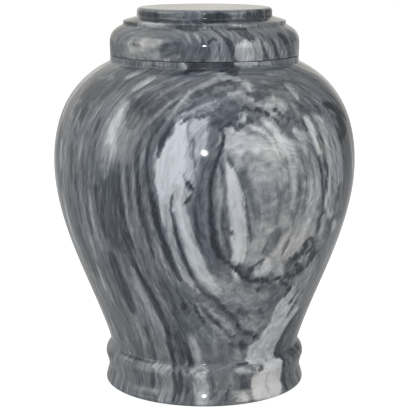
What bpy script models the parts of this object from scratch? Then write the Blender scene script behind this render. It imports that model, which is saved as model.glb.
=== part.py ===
"""Marble urn: a hollow turned body with its foot in one stone, and a lid that lifts off.

Metres, +Z up. The origin is the centre of the underside.
Every outline is a list of (radius, height) points that is turned around the Z axis.
"""
import math

import bmesh
import bpy
from mathutils import Vector

# Foot mouldings, from the underside up
FOOT_RADIUS = 0.0711
FOOT_EDGE_ROUND = 0.0016
FOOT_LIP_HEIGHT = 0.0022
COVE_HEIGHT = 0.0190
COVE_DEPTH = 0.0021
BEAD_RISE = 0.0038
BEAD_STEP_IN = 0.0009

# Body outside
WAIST_RADIUS = 0.0667
WAIST_HEIGHT = 0.0296
WAIST_FLARE = math.radians(15.3)
BELLY_RADIUS = 0.1059
BELLY_HEIGHT = 0.1595
NECK_RADIUS = 0.0658
NECK_HEIGHT = 0.2299
NECK_FALL = math.radians(66.0)
RIM_HEIGHT = 0.2342

# Fullness of the body's curves, as shares of the height that each curve spans
WAIST_FULLNESS = 0.301
UNDER_BELLY_FULLNESS = 0.354
OVER_BELLY_FULLNESS = 0.654
SHOULDER_FULLNESS = 0.246

# Body inside
WALL = 0.0150
FLOOR_THICKNESS = 0.0200
FLOOR_ROUND = 0.0120
MOUTH_RADIUS = 0.0400
MOUTH_DEPTH = 0.0110
MOUTH_CHAMFER = 0.0010

# Lid outside, from the seam up
BAND_HEIGHT = 0.0078
BAND_SWELL = 0.0003
OVOLO_RISE = 0.01325
OVOLO_STEP_IN = 0.0095
OVOLO_FALL = math.radians(58.0)
OVOLO_FULLNESS = 0.70
RING_HEIGHT = 0.0018
RING_ROUND = 0.0011
SHELF_WIDTH = 0.0071
SHELF_RISE = 0.00195
DISC_FILLET = 0.0013
DISC_HEIGHT = 0.0029
DISC_ROUND = 0.0024

# Lid inside the mouth
SPIGOT_DEPTH = 0.0080
SPIGOT_CHAMFER = 0.0010
SPIGOT_CLEARANCE = 0.0008
SEAM_GAP = 0.0003

# Facets
SEGMENTS = 64
COVE_STEPS = 6
FLANK_STEPS = 10
SHOULDER_STEPS = 11
CAVITY_FLANK_STEPS = 6
CAVITY_SHOULDER_STEPS = 6
OVOLO_STEPS = 5
ROUND_STEPS = 2
MERGE_DISTANCE = 0.00001
SHARP_ANGLE = math.radians(28.0)

# Finish
MARBLE_COLOUR = (0.23, 0.24, 0.26, 1.0)
MARBLE_ROUGHNESS = 0.12


def curve(start, start_pull, end_pull, end, steps):
    """Points after start on a cubic curve that leaves start and reaches end along the two pulls."""
    corners = (Vector(start), Vector(start) + start_pull, Vector(end) - end_pull, Vector(end))
    points = []
    for step in range(1, steps + 1):
        t = step / steps
        shares = ((1 - t) ** 3, 3 * t * (1 - t) ** 2, 3 * t * t * (1 - t), t ** 3)
        points.append(sum((share * corner for share, corner in zip(shares, corners)), Vector((0.0, 0.0))))
    return points


def arc(centre_radius, centre_height, size, from_angle, to_angle):
    """Points of an arc with both of its ends, where angle 0 points away from the axis."""
    angles = [from_angle + (to_angle - from_angle) * step / ROUND_STEPS for step in range(ROUND_STEPS + 1)]
    return [Vector((centre_radius + size * math.cos(a), centre_height + size * math.sin(a))) for a in angles]


def rising(fall, length):
    """A pull of a given length that goes up and leans towards the axis by an angle."""
    return Vector((-math.sin(fall), math.cos(fall))) * length


def offset_inward(points, distance):
    """A rising line of points moved square to itself towards the axis."""
    moved = []
    for index, point in enumerate(points):
        along = points[min(index + 1, len(points) - 1)] - points[max(index - 1, 0)]
        moved.append(point + Vector((-along.y, along.x)).normalized() * distance)
    return moved


def cut_to_heights(points, low, high):
    """The stretch of a rising line of points between two heights, cut exactly there."""
    kept = [point for point in points if low < point.y < high]
    for before, after in zip(points, points[1:]):
        for height in (low, high):
            if before.y <= height < after.y:
                crossing = before.lerp(after, (height - before.y) / (after.y - before.y))
                kept.insert(0 if height == low else len(kept), crossing)
    return kept


def foot_outline():
    """The foot's lip, cove and bead, from the underside up to the arris above the bead."""
    points = arc(FOOT_RADIUS - FOOT_EDGE_ROUND, FOOT_EDGE_ROUND, FOOT_EDGE_ROUND, -math.pi / 2, 0.0)
    for step in range(COVE_STEPS + 1):
        turn = step / COVE_STEPS
        radius = FOOT_RADIUS - COVE_DEPTH * math.sin(math.pi * turn)
        points.append(Vector((radius, FOOT_LIP_HEIGHT + COVE_HEIGHT * turn)))
    bead = points[-1]
    arris = bead + Vector((-BEAD_STEP_IN, BEAD_RISE))
    return points + curve(bead, Vector((0.0, BEAD_RISE / 3)), (arris - bead) / 3, arris, ROUND_STEPS)


def body_side(flank_steps, shoulder_steps):
    """The body's side from the crease at the waist, over the belly, to the neck."""
    waist = Vector((WAIST_RADIUS, WAIST_HEIGHT))
    belly = Vector((BELLY_RADIUS, BELLY_HEIGHT))
    neck = Vector((NECK_RADIUS, NECK_HEIGHT))
    flank = BELLY_HEIGHT - WAIST_HEIGHT
    shoulder = NECK_HEIGHT - BELLY_HEIGHT
    waist_pull = rising(-WAIST_FLARE, flank * WAIST_FULLNESS)
    under_belly_pull = rising(0.0, flank * UNDER_BELLY_FULLNESS)
    over_belly_pull = rising(0.0, shoulder * OVER_BELLY_FULLNESS)
    neck_pull = rising(NECK_FALL, shoulder * SHOULDER_FULLNESS)
    points = [waist]
    points += curve(waist, waist_pull, under_belly_pull, belly, flank_steps)
    points += curve(belly, over_belly_pull, neck_pull, neck, shoulder_steps)
    return points


def cavity_outline():
    """The mouth and the cavity, from the rim down to the centre of the floor."""
    mouth_foot = RIM_HEIGHT - MOUTH_DEPTH
    mouth = [
        Vector((MOUTH_RADIUS + MOUTH_CHAMFER, RIM_HEIGHT)),
        Vector((MOUTH_RADIUS, RIM_HEIGHT - MOUTH_CHAMFER)),
        Vector((MOUTH_RADIUS, mouth_foot)),
    ]
    wall = offset_inward(body_side(CAVITY_FLANK_STEPS, CAVITY_SHOULDER_STEPS), WALL)
    wall = cut_to_heights(wall, FLOOR_THICKNESS + FLOOR_ROUND, mouth_foot)
    wall.reverse()
    floor_edge = Vector((wall[-1].x - FLOOR_ROUND, FLOOR_THICKNESS))
    floor_pull = Vector((0.0, -FLOOR_ROUND / 2))
    floor = curve(wall[-1], floor_pull, Vector((-FLOOR_ROUND / 2, 0.0)), floor_edge, ROUND_STEPS)
    return mouth + wall + floor + [Vector((0.0, FLOOR_THICKNESS))]


def body_outline():
    """The body's whole section, from the centre of the underside round to the centre of the floor."""
    underside = [Vector((0.0, 0.0))]
    rim_edge = [Vector((NECK_RADIUS, RIM_HEIGHT))]
    return underside + foot_outline() + body_side(FLANK_STEPS, SHOULDER_STEPS) + rim_edge + cavity_outline()


def lid_outline():
    """The lid's whole section, from the centre of the spigot's underside to the centre of the top."""
    seat = RIM_HEIGHT + SEAM_GAP
    spigot_radius = MOUTH_RADIUS - SPIGOT_CLEARANCE
    spigot_foot = seat - SPIGOT_DEPTH
    points = [
        Vector((0.0, spigot_foot)),
        Vector((spigot_radius - SPIGOT_CHAMFER, spigot_foot)),
        Vector((spigot_radius, spigot_foot + SPIGOT_CHAMFER)),
        Vector((spigot_radius, seat)),
        Vector((NECK_RADIUS, seat)),
        Vector((NECK_RADIUS + BAND_SWELL, seat + BAND_HEIGHT)),
    ]
    ring_foot = points[-1] + Vector((-OVOLO_STEP_IN, OVOLO_RISE))
    ovolo_pull = rising(0.0, OVOLO_RISE * OVOLO_FULLNESS)
    ring_pull = rising(OVOLO_FALL, OVOLO_STEP_IN / 2)
    points += curve(points[-1], ovolo_pull, ring_pull, ring_foot, OVOLO_STEPS)
    points += arc(ring_foot.x - RING_ROUND, ring_foot.y + RING_HEIGHT, RING_ROUND, 0.0, math.pi / 2)
    shelf_top = points[-1] + Vector((-SHELF_WIDTH, SHELF_RISE))
    disc_foot = shelf_top + Vector((-DISC_FILLET, DISC_FILLET))
    points.append(shelf_top)
    points += curve(
        shelf_top, Vector((-DISC_FILLET / 2, 0.0)), Vector((0.0, DISC_FILLET / 2)), disc_foot, ROUND_STEPS
    )
    points += arc(disc_foot.x - DISC_ROUND, disc_foot.y + DISC_HEIGHT, DISC_ROUND, 0.0, math.pi / 2)
    points.append(Vector((0.0, points[-1].y)))
    return points


def marble_material(name):
    """Polished grey marble."""
    material = bpy.data.materials.new(name)
    material.use_nodes = True
    shader = material.node_tree.nodes["Principled BSDF"]
    shader.inputs["Base Color"].default_value = MARBLE_COLOUR
    shader.inputs["Roughness"].default_value = MARBLE_ROUGHNESS
    shader.inputs["Metallic"].default_value = 0.0
    return material


def turned_piece(name, outline):
    """A closed solid, turned from an outline that starts and ends on the axis."""
    shape = bmesh.new()
    corners = [shape.verts.new((point.x, 0.0, point.y)) for point in outline]
    edges = [shape.edges.new(pair) for pair in zip(corners, corners[1:])]
    bmesh.ops.spin(
        shape,
        geom=corners + edges,
        cent=(0.0, 0.0, 0.0),
        axis=(0.0, 0.0, 1.0),
        angle=math.tau,
        steps=SEGMENTS,
    )
    bmesh.ops.remove_doubles(shape, verts=shape.verts, dist=MERGE_DISTANCE)
    bmesh.ops.recalc_face_normals(shape, faces=shape.faces)
    mesh = bpy.data.meshes.new(name)
    shape.to_mesh(mesh)
    shape.free()
    mesh.shade_smooth()
    mesh.set_sharp_from_angle(angle=SHARP_ANGLE)
    mesh.materials.append(marble_material(name + "_marble"))
    piece = bpy.data.objects.new(name, mesh)
    bpy.context.collection.objects.link(piece)
    return piece


def main():
    for item in list(bpy.data.objects):
        bpy.data.objects.remove(item)
    turned_piece("urn_body", body_outline())
    turned_piece("lid", lid_outline())


main()
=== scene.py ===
"""Looks of the marble urn: smooth turned surfaces, veined polished marble, studio light and camera."""
import math

import bpy
import numpy as np
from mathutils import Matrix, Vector


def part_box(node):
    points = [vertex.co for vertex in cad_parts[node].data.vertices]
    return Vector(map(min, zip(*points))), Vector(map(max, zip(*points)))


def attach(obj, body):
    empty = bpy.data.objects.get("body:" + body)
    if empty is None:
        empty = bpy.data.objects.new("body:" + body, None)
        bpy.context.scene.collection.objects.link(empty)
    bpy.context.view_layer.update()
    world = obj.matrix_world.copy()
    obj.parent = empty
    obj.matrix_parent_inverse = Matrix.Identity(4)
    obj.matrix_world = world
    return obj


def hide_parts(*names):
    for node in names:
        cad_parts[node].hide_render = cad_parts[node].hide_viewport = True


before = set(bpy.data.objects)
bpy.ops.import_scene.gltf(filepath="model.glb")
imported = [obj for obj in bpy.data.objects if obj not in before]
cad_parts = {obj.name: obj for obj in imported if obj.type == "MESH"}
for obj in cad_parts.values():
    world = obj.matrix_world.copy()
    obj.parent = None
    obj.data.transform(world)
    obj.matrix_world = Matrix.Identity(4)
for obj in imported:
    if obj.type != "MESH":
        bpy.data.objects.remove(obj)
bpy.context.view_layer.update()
BODY_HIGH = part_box("urn_body")[1]
LID_LOW, LID_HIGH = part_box("lid")
MM = 0.001

# Foot mouldings, from the underside up
FOOT_RADIUS = 71.1 * MM
FOOT_EDGE_WIDTH = 3.2 * MM
FOOT_LIP_HEIGHT = 2.2 * MM
CLIMB_START_HEIGHT = 1.6 * MM
COVE_HEIGHT = 19.0 * MM
COVE_DEPTH = 2.1 * MM
POLISH_WAVE = 0.22 * MM
WAVE_HEIGHT = 9.0 * MM
WAVE_LENGTH = 10.8 * MM
BEAD_RISE = 3.8 * MM
BEAD_STEP_IN = 0.9 * MM

# Body outside
WAIST_RADIUS = 66.7 * MM
WAIST_HEIGHT = 29.6 * MM
WAIST_FLARE = math.radians(15.3)
BELLY_RADIUS = BODY_HIGH[0]
BELLY_HEIGHT = 159.5 * MM
NECK_RADIUS = 65.8 * MM
NECK_HEIGHT = 229.9 * MM
NECK_FALL = math.radians(66.0)
RIM_HEIGHT = BODY_HIGH[2]
WAIST_FULLNESS = 0.301
UNDER_BELLY_FULLNESS = 0.354
OVER_BELLY_FULLNESS = 0.654
SHOULDER_FULLNESS = 0.246

# Body inside
WALL = 15.0 * MM
FLOOR_THICKNESS = 20.0 * MM
FLOOR_ROUND = 12.0 * MM
MOUTH_RADIUS = 40.0 * MM
MOUTH_DEPTH = 11.0 * MM

# Lid, from the seam up
SEAM_GAP = 0.3 * MM
BAND_HEIGHT = 7.8 * MM
BAND_SWELL = 0.3 * MM
BAND_PULL = Vector((0.7 * BAND_SWELL, BAND_HEIGHT / 2))
OVOLO_RISE = 13.25 * MM
OVOLO_STEP_IN = 9.5 * MM
OVOLO_FALL = math.radians(58.0)
OVOLO_FULLNESS = 0.70
RING_HEIGHT = 1.8 * MM
RING_ROUND = 1.1 * MM
SHELF_WIDTH = 7.1 * MM
SHELF_RISE = 1.95 * MM
DISC_FILLET = 1.3 * MM
DISC_ROUND = 2.4 * MM
SPIGOT_CLEARANCE = 0.8 * MM

# Edges eased by the polishing
SOFT_EDGE = 1.0 * MM
RING_FOOT_EDGE = 0.7 * MM
CRISP_EDGE = 0.4 * MM

# Mesh fineness
BODY_COLUMNS = 368
LID_COLUMNS = 480
BACK_COARSENESS = 4.0
BACK_START = 85.0
BACK_BLEND = 5.0
COVE_POINTS = 25
DISC_ROUND_STEPS = 8
FINE_SPACING = 0.6 * MM
SIDE_SPACING = 1.3 * MM
SPIGOT_SPACING = 3.0 * MM
PLAIN_SPACING = 6.0 * MM
RIM_SPACING = 12.0 * MM
WALL_SPACING = 14.0 * MM
UNDERSIDE_SPACING = 20.0 * MM


def vein(tone, width, *path, blur=1.6, ragged=0.5):
    """A vein or patch of one tone (0 charcoal, 1 white) along a path of (azimuth in degrees, climb in mm); a
    few of them are painted reflections and highlights.

    Its width, the blur of its edges and how far they are torn are in millimetres too.
    """
    return tone, width, blur, ragged, path


# Two kinds of edges that many veins share
PATCH = {"blur": 8.0, "ragged": 1.0}
TORN = {"blur": 1.0, "ragged": 1.6}

# Veins of the body's front, painted in this order, with a few painted reflections of the windows and painted
# highlights on the bead's edge among them. Climb runs up the outline from the foot's lip.
BODY_VEINS_AND_SHEEN = (
    # broad light and dark areas
    vein(0.7, 40, (17, 184), (24, 165), (27, 142), (27, 124), blur=9, ragged=1),
    vein(0.62, 22, (38, 188), (41, 165), (41, 140), (41, 124), blur=8, ragged=1),
    vein(0.25, 20, (-36, 165), (-36, 140), (-35, 126), **PATCH),
    vein(0.26, 26, (-6, 244), (-18, 236), (-24, 224), (-22, 210), **PATCH),
    vein(0.24, 26, (-34, 246), (-46, 240), (-56, 232), **PATCH),
    vein(0.34, 24, (-50, 218), (-52, 204), **PATCH),
    vein(0.42, 22, (4, 58), (8, 42), (12, 20), **PATCH),
    vein(0.22, 22, (57, 52), (56, 40), (58, 28), **PATCH),
    vein(0.5, 24, (-25, 72), (-24, 58), (-24, 44), **PATCH),
    vein(0.3, 18, (-16, 92), (-12, 78), (-12, 62), (-10, 44), **PATCH),
    vein(0.46, 16, (55, 190), (56, 175), (55, 160), **PATCH),
    vein(0.42, 16, (27, 82), (26, 72), (30, 62), **PATCH),
    # white patch and the white bands below it, to the left of the core
    vein(0.79, 15, (-1.8, 206), (-3, 196), (-4.4, 184), (-6, 172), (-8, 160), blur=6),
    vein(0.94, 9, (-9.6, 190), (-8.6, 201), (-8.2, 205), blur=3),
    vein(0.97, 9, (-13.6, 170), (-14, 160), (-13.4, 151), blur=2.4),
    vein(0.88, 6.6, (-14, 160), (-13.8, 150), (-13.2, 141), blur=3),
    vein(0.98, 18, (-13, 168), (-12.8, 179), (-12.2, 187), blur=2.8),
    vein(0.95, 12, (-10.4, 166), (-10.6, 178), (-10.2, 190), blur=4),
    vein(0.84, 10, (-9.6, 164), (-8.2, 150), (-6.2, 133), (-3.6, 116), (-0.8, 104), (3.5, 93), (9, 84),
         blur=3.6),
    vein(0.92, 5, (-9.4, 154), (-7.6, 140), (-6, 128), (-3.6, 112), (-0.6, 102), (4, 92), blur=2.6),
    vein(0.76, 5.4, (-13.8, 152), (-12.8, 138), (-11.6, 124), (-9.4, 110), (-6.6, 99), (-2, 90), blur=2.2),
    vein(0.82, 2.6, (-0.8, 208), (0.4, 199), (-0.4, 190), blur=2),
    vein(0.4, 1.4, (-4.6, 200), (-4, 188), (-3.3, 178), (-3, 168)),
    vein(0.55, 1.6, (-6.2, 206), (-5.2, 195), (-4.8, 184)),
    # core
    vein(0.34, 12, (0.6, 184), (0.2, 168), (-0.6, 150), (0, 136), (2, 122), (5, 108), blur=4),
    vein(0.46, 3, (0.6, 176), (0.2, 160), (0.2, 148), (1, 134), (2.6, 122), blur=2.4),
    vein(0.1, 5, (2.2, 152), (2.8, 139), (3.8, 128), (5.6, 119), (8, 113), blur=2.6),
    vein(0.1, 2.4, (-3.6, 152), (-3, 140), (-2, 130), (-0.6, 120)),
    vein(0.2, 1.2, (-2.2, 168), (-1.6, 156), (-1.4, 146)),
    vein(0.22, 1.5, (-7.6, 178), (-7.2, 172), (-5.6, 167), blur=1.3, ragged=0.7),
    vein(0.05, 2.6, (-6.4, 169), (-4.9, 165.6), (-3.4, 162), blur=1.2, ragged=0.8),
    vein(0.14, 2.2, (-3.8, 163.4), (-4.8, 159), (-7, 154.6), blur=1.4, ragged=0.8),
    vein(0, 2.8, (7, 195), (5.6, 189), (4.2, 183), (2.9, 176), (2.2, 168), (2.1, 155), (2.5, 143),
         (3.2, 132)),
    vein(0, 2.6, (2.7, 145), (3.3, 132), (4.6, 122), (6.6, 116.5), (9, 113), (11.5, 110), blur=1.2),
    vein(0.12, 1.8, (5, 157), (6.2, 147), (6.6, 138), (8, 130), (9.4, 121), (11, 115)),
    vein(0.6, 4.6, (4.6, 176), (4.6, 162), (4.8, 150), (5.2, 138), blur=2),
    vein(0.66, 1.2, (4.6, 150), (5.2, 138), (6, 128), (8, 119)),
    vein(0.55, 1.2, (7, 140), (8, 128), (9.4, 119)),
    vein(0.12, 1.1, (4.8, 185), (5.9, 178), (6.9, 170), (7.2, 163), (6.9, 156)),
    # white column inside the ring
    vein(0.92, 11, (9.4, 172), (10.6, 160), (11.4, 148), (12.6, 136), (13.4, 125), (13, 114), blur=3),
    vein(0.96, 5, (8.2, 180), (9.6, 170), (10.4, 160), (11, 150), blur=2.4),
    vein(0.96, 5, (11, 150), (12, 138), (12.8, 126), (12.6, 116), blur=2.4),
    vein(0.2, 3, (7.2, 138), (8.4, 135), (10, 133.4), blur=1.6, ragged=1.2),
    vein(0.3, 2, (7.8, 185), (9, 181), (10.4, 177), blur=2, ragged=0.8),
    vein(0.34, 1.8, (10.6, 177), (12.4, 171), (13.8, 164), (14.6, 156), blur=2),
    vein(0.3, 1.5, (14.4, 160), (15.4, 149), (16.2, 139), (17.2, 128)),
    vein(0.5, 6, (14, 174), (16.2, 163), (17.6, 154), (18.4, 145), blur=4),
    vein(0.34, 2.6, (12.4, 176), (15, 166), (16.6, 157), (17.8, 147), blur=2.4),
    vein(0.42, 1.6, (18.6, 156), (19.8, 148), (20.2, 140)),
    vein(0.54, 1.4, (19.8, 172), (21.2, 158), (22, 146), (22.2, 134)),
    vein(0.66, 14, (19, 182), (22.6, 168), (24, 154), (24.6, 142), blur=6),
    vein(0.76, 6, (21, 176), (23.6, 165), (24.8, 152), blur=5),
    vein(0.78, 4, (19.4, 126), (18, 118), (17, 112), blur=3),
    vein(0.32, 9, (14, 106), (16.6, 103), (19, 103), blur=4, ragged=2.2),
    vein(0.78, 12, (23.6, 104.5), (25.4, 109), (27, 114), blur=4.6, ragged=1.2),
    vein(0.9, 5, (22.4, 103), (24.6, 106.6), (26, 112), blur=3.4, ragged=1.2),
    vein(0.78, 4, (26.6, 116), (29, 118.6), blur=3, ragged=1.2),
    vein(0.88, 5, (12, 104.6), (13.4, 100), (12.6, 94), blur=2.6),
    vein(0.7, 5, (4.5, 99), (7.5, 95), (11, 92), blur=2.6),
    # dark torn ring, from its foot round to the right and over the top
    vein(0.05, 3.6, (11, 110.5), (13.5, 106), (15.5, 101), (17.5, 98.5), (20, 96), **TORN),
    vein(0.08, 3.2, (18.2, 103), (19.4, 108), **TORN),
    vein(0.04, 3, (19.5, 96), (22, 97), (25, 97.5), (27, 94.5), (29.5, 93), **TORN),
    vein(0.12, 2.6, (30, 95), (33, 99), (35.5, 105), (36, 110), **TORN),
    vein(0.22, 2, (20, 108), (22, 110.5), (24, 113.5), **TORN),
    vein(0.04, 3.4, (36, 110), (38.5, 112), (39.5, 107), (38, 101), (39.5, 94), **TORN),
    vein(0.4, 12, (42, 117), (45.4, 117.6), blur=5, ragged=2),
    vein(0.38, 13, (38.6, 104), (43, 102), blur=5, ragged=2),
    vein(0.03, 3.8, (40.6, 114), (42.2, 120.6), (45, 123.5), (46.8, 121.6), (48.6, 116), **TORN),
    vein(0.06, 3.2, (44.4, 114), (47, 112.6), (48, 117), **TORN),
    vein(0.58, 2.6, (43, 117), (45, 119.4), **TORN),
    vein(0.64, 2.6, (41.4, 106.6), (43.4, 107.4), **TORN),
    vein(0.04, 3.6, (40, 94), (43.4, 97.6), (46.6, 99.6), (48.2, 104), (49.8, 109), **TORN),
    vein(0.06, 2.8, (40.5, 106), (43, 103), (45.6, 103.6), **TORN),
    vein(0.12, 3, (50.6, 101), (52.6, 98), (53.6, 94), **TORN),
    vein(0.72, 3.2, (46.2, 110), (46.4, 106), (46, 103), **TORN),
    vein(0.55, 2.8, (42.5, 110), (44, 115), (45.5, 118), **TORN),
    vein(0.04, 3.8, (47.8, 126), (48.5, 131), (48.6, 137), (50.2, 141.5), (48.6, 146), **TORN),
    vein(0.06, 2.4, (48.6, 149), (48.4, 154), (47.4, 161), (46.6, 168), (45.8, 175), (44.6, 181),
         ragged=0.8),
    vein(0.12, 1.8, (48.8, 143), (48.6, 150), (48, 157), ragged=1),
    vein(0.2, 1.3, (45, 180), (43.8, 186), (42.4, 193), (41.2, 200)),
    vein(0.12, 3, (41.4, 198), (40.6, 203.5), **TORN),
    vein(0.24, 7, (37.5, 206), (39, 212), (42, 214), (45.5, 213), (50, 217), blur=3, ragged=1.5),
    vein(0.03, 3.4, (5.2, 205), (6.2, 200.5), (7.6, 203.5), (9, 206), (11, 209.5), (13.6, 211),
         (15.2, 214.5), **TORN),
    vein(0.04, 3, (15, 214), (17, 216), (19, 213.5), (21.5, 215), (24, 212.5), (26.5, 209), (30, 205),
         **TORN),
    vein(0.06, 2.8, (30, 205), (32, 209), (34, 212), (36.5, 216), **TORN),
    vein(0.06, 3.4, (33.2, 206), (34.6, 208.5), (36, 207.5), **TORN),
    vein(0.2, 8, (4.5, 208), (8, 211), (11, 214), blur=3, ragged=1.5),
    # light and grey inside the ring's top and right
    vein(0.86, 13, (8.6, 195), (12.6, 193), (16.6, 191), blur=5, ragged=1),
    vein(0.8, 6, (9, 201), (12, 202), blur=2.6, ragged=1),
    vein(0.8, 6, (13, 205), (16, 208), (14.6, 212), blur=2, ragged=1),
    vein(0.26, 2.6, (11.6, 204), (14, 205), **TORN),
    vein(0.2, 2.8, (17, 208), (18.4, 205.5), **TORN),
    vein(0.62, 5, (15.5, 186), (18, 184), (20.5, 181), blur=4),
    vein(0.04, 2.3, (6.4, 203), (6.9, 196), (6, 190), (4.7, 184)),
    vein(0.9, 5, (18, 203), (21, 200.5), (24.5, 195), (27, 188), (28.4, 181), blur=3),
    vein(0.92, 6, (23, 208), (25.4, 203), (27.8, 197), (30, 190), (31.4, 183), blur=3),
    vein(0.78, 4, (20, 196), (22.6, 190), (25, 182), (26.6, 172), blur=3),
    vein(0.48, 2.2, (16.6, 199.6), (20, 199), (22.6, 195.6), (24.6, 191), blur=2.4),
    vein(0.52, 1.4, (24, 200), (26, 194), (27.6, 186), (29, 177)),
    vein(0.84, 5, (30.4, 196), (33, 188), (34.6, 178), blur=3),
    vein(0.82, 5, (36, 199), (38.2, 192), (39.4, 184), blur=2.6),
    vein(0.72, 9, (30, 188), (32, 174), (32.6, 160), (31, 146), (29.2, 136), blur=5),
    vein(0.86, 4, (29.6, 190), (31.6, 182), (33, 172), (33.6, 160), (33, 150), blur=3),
    vein(0.7, 4, (36.8, 178), (37.6, 167), (37.2, 156), blur=3),
    vein(0.72, 3.6, (41, 180), (42, 168), (41.6, 155), (40.4, 143), blur=3),
    vein(0.52, 1.3, (29.6, 184), (30.4, 176), (31.4, 167), (31.2, 157)),
    vein(0.5, 2.4, (27.8, 160), (27.6, 149), (26.8, 139), (25.4, 129), blur=2.2),
    vein(0.38, 1.6, (40, 188), (41.2, 176), (42.6, 165), (42.2, 152)),
    vein(0.38, 1.4, (35.6, 188), (37.4, 178), (38.8, 168), (38.8, 156)),
    vein(0.42, 2.8, (35.6, 166), (36, 154), (35, 144), (33.8, 136), blur=2.4),
    vein(0.42, 1.6, (38.6, 154), (38.8, 146), (37.6, 138)),
    vein(0.44, 7, (28.2, 132), (27, 126), (25.4, 119), blur=6, ragged=1.2),
    vein(0.34, 2.2, (29.4, 134), (28.6, 128), (28, 121), blur=2.4),
    vein(0.34, 2, (25, 128), (23.8, 122), (22.6, 117), blur=2.2),
    vein(0.84, 1.8, (31.6, 130), (30.6, 124), (30, 119)),
    vein(0.34, 2.4, (34.2, 130), (33.2, 121), (31.4, 112)),
    vein(0.78, 13, (40, 137), (39.6, 127), (37.6, 117), blur=5, ragged=1),
    vein(0.68, 8, (45, 140), (44.4, 130), blur=4),
    vein(0.74, 8, (29.6, 112), (31.4, 106), (33, 100), blur=3.6, ragged=1.2),
    # streaks to the right of the ring
    vein(0.6, 16, (55, 194), (56.4, 178), (57, 162), **PATCH),
    vein(0.88, 6.4, (42.8, 206), (43.6, 199), (44.8, 192), (46, 184), blur=2.6),
    vein(0.66, 4, (46.4, 186), (48, 178), (49, 168), (50, 158), blur=2.4),
    vein(0.22, 1.8, (46, 193), (47, 187), (48.2, 182)),
    vein(0.16, 1.9, (47.4, 195), (48.6, 190), (49.4, 186)),
    vein(0.8, 7, (47.4, 209), (49.8, 203), (51.2, 196), blur=3, ragged=1),
    vein(0.74, 7.6, (51, 196), (51.8, 184), (52.8, 172), (52.6, 160), (51.8, 150), blur=3),
    vein(0.8, 7, (51.4, 158), (51.8, 149), (53.6, 142), (55.8, 137), blur=3, ragged=0.9),
    vein(0.66, 5.8, (50.8, 137), (51.6, 130), (51.4, 123), blur=2.6, ragged=1.2),
    vein(0.2, 2.4, (48, 181), (49, 174), (49.8, 168), ragged=0.9),
    vein(0.1, 2.4, (49, 166), (49.6, 160), (49.6, 155.6), ragged=0.9),
    vein(0.38, 1.4, (52.8, 192), (54, 180), (54.8, 168), (54.2, 156)),
    vein(0.72, 6, (56.6, 176), (57.6, 165), (57, 154), blur=3),
    vein(0.62, 10, (54.6, 204), (55.8, 188), (56, 172), (55, 158), (55, 148), blur=5, ragged=1),
    vein(0.46, 1.8, (55, 198), (56.2, 184), (56.4, 170)),
    vein(0.24, 5.4, (54.6, 132), (56.8, 130), (58.4, 126), blur=4, ragged=1.4),
    vein(0.16, 3, (58.4, 135), (61, 134), (64, 130), blur=2.4, ragged=1.4),
    vein(0.76, 6.4, (60.8, 129.6), (61.4, 126.4), blur=4),
    vein(0.6, 4, (50, 112), (53, 116), (56, 119), blur=2.8, ragged=1.2),
    vein(0.06, 16, (66, 200), (68, 184), (68, 164), (67, 146), (67, 136), blur=6),
    vein(0.03, 6, (56, 213), (60, 212.6), (64, 210.6), (68, 207), (73, 202), blur=3),
    vein(0.04, 6, (59.4, 203), (61.6, 192), (63, 180), (63.6, 168), (63.4, 154), blur=3),
    vein(0.46, 2.6, (56.6, 207.4), (59.8, 201), (62.4, 196)),
    vein(0.24, 6, (59.6, 156), (60, 148), blur=4, ragged=1.6),
    vein(0.44, 3, (63, 146), (66.6, 136), blur=3),
    vein(0.48, 3, (52, 106), (56, 98), (60, 88), blur=3, ragged=1.2),
    vein(0.3, 3, (54, 110), (58, 102), (62, 92), blur=3, ragged=1.2),
    vein(0.54, 2.6, (51, 97), (54.6, 90), blur=2.6, ragged=1.2),
    vein(0.5, 3, (60, 118), (63, 108), (66, 96), blur=3, ragged=1),
    # shoulder
    vein(0.34, 16, (18, 246), (32, 247), (48, 246), (60, 246), **PATCH),
    vein(0.3, 14, (28, 236), (38, 238), (48, 238), **PATCH),
    vein(0.32, 12, (36, 214), (44, 215), (52, 214), **PATCH),
    vein(0.1, 4, (-18.6, 199), (-17.6, 204), (-15.6, 209), ragged=1),
    vein(0.14, 4, (-16.6, 186), (-15.6, 191), (-14.6, 197), (-12, 206), ragged=1),
    vein(0.5, 2.2, (-17, 197), (-15.4, 203), (-13, 209), ragged=0.8),
    vein(0.12, 2.4, (-12, 212), (-9.5, 213), (-7, 215), (-4, 219), (-1, 222), (1.5, 223), **TORN),
    vein(0.16, 2.2, (-8.6, 206), (-6, 209), (-3, 210.5), (1, 213), (4, 215.5), (8, 217), **TORN),
    vein(0.62, 3, (-9, 211), (-5, 214), (-2, 217), (1.5, 220), (5, 223), blur=2.2, ragged=1),
    vein(0.54, 3, (-1, 213), (3, 217), (7, 220), blur=2.2, ragged=1),
    vein(0.5, 3.2, (-21, 220), (-17, 229), (-11, 237), (-5, 242), blur=3, ragged=0.8),
    vein(0.46, 2.4, (-25, 228), (-20, 237), (-13, 244), blur=2.6, ragged=0.8),
    vein(0.24, 2.4, (-17, 218), (-13, 227), (-8, 233.6), (-2, 239), blur=2.2, ragged=0.8),
    vein(0.13, 2.2, (-19.4, 206), (-15.4, 214), (-11, 221), (-7.4, 226.6), ragged=0.8),
    vein(0.56, 2, (-21.4, 205), (-17.6, 213), (-13.4, 221), (-9.6, 227), ragged=0.8),
    vein(0.15, 2.2, (-23.6, 206), (-20, 214), (-15.8, 223), (-11.4, 230), ragged=0.8),
    vein(0.6, 4.2, (-13.6, 209), (-11, 216), (-8.8, 222), (-6.4, 227), (-3.4, 231.4), (0.2, 235),
         (3.6, 238.4), (6.6, 241.6), (8.8, 245), blur=2.4),
    vein(0.66, 5.4, (9.6, 241), (13, 242), (16, 240.4), blur=2.4, ragged=1.2),
    vein(0.15, 5.4, (-5, 224), (-2, 227.6), (2, 231), (6, 235.4), (11, 237.4), (15.4, 234), blur=1.8,
         ragged=1.8),
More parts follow.
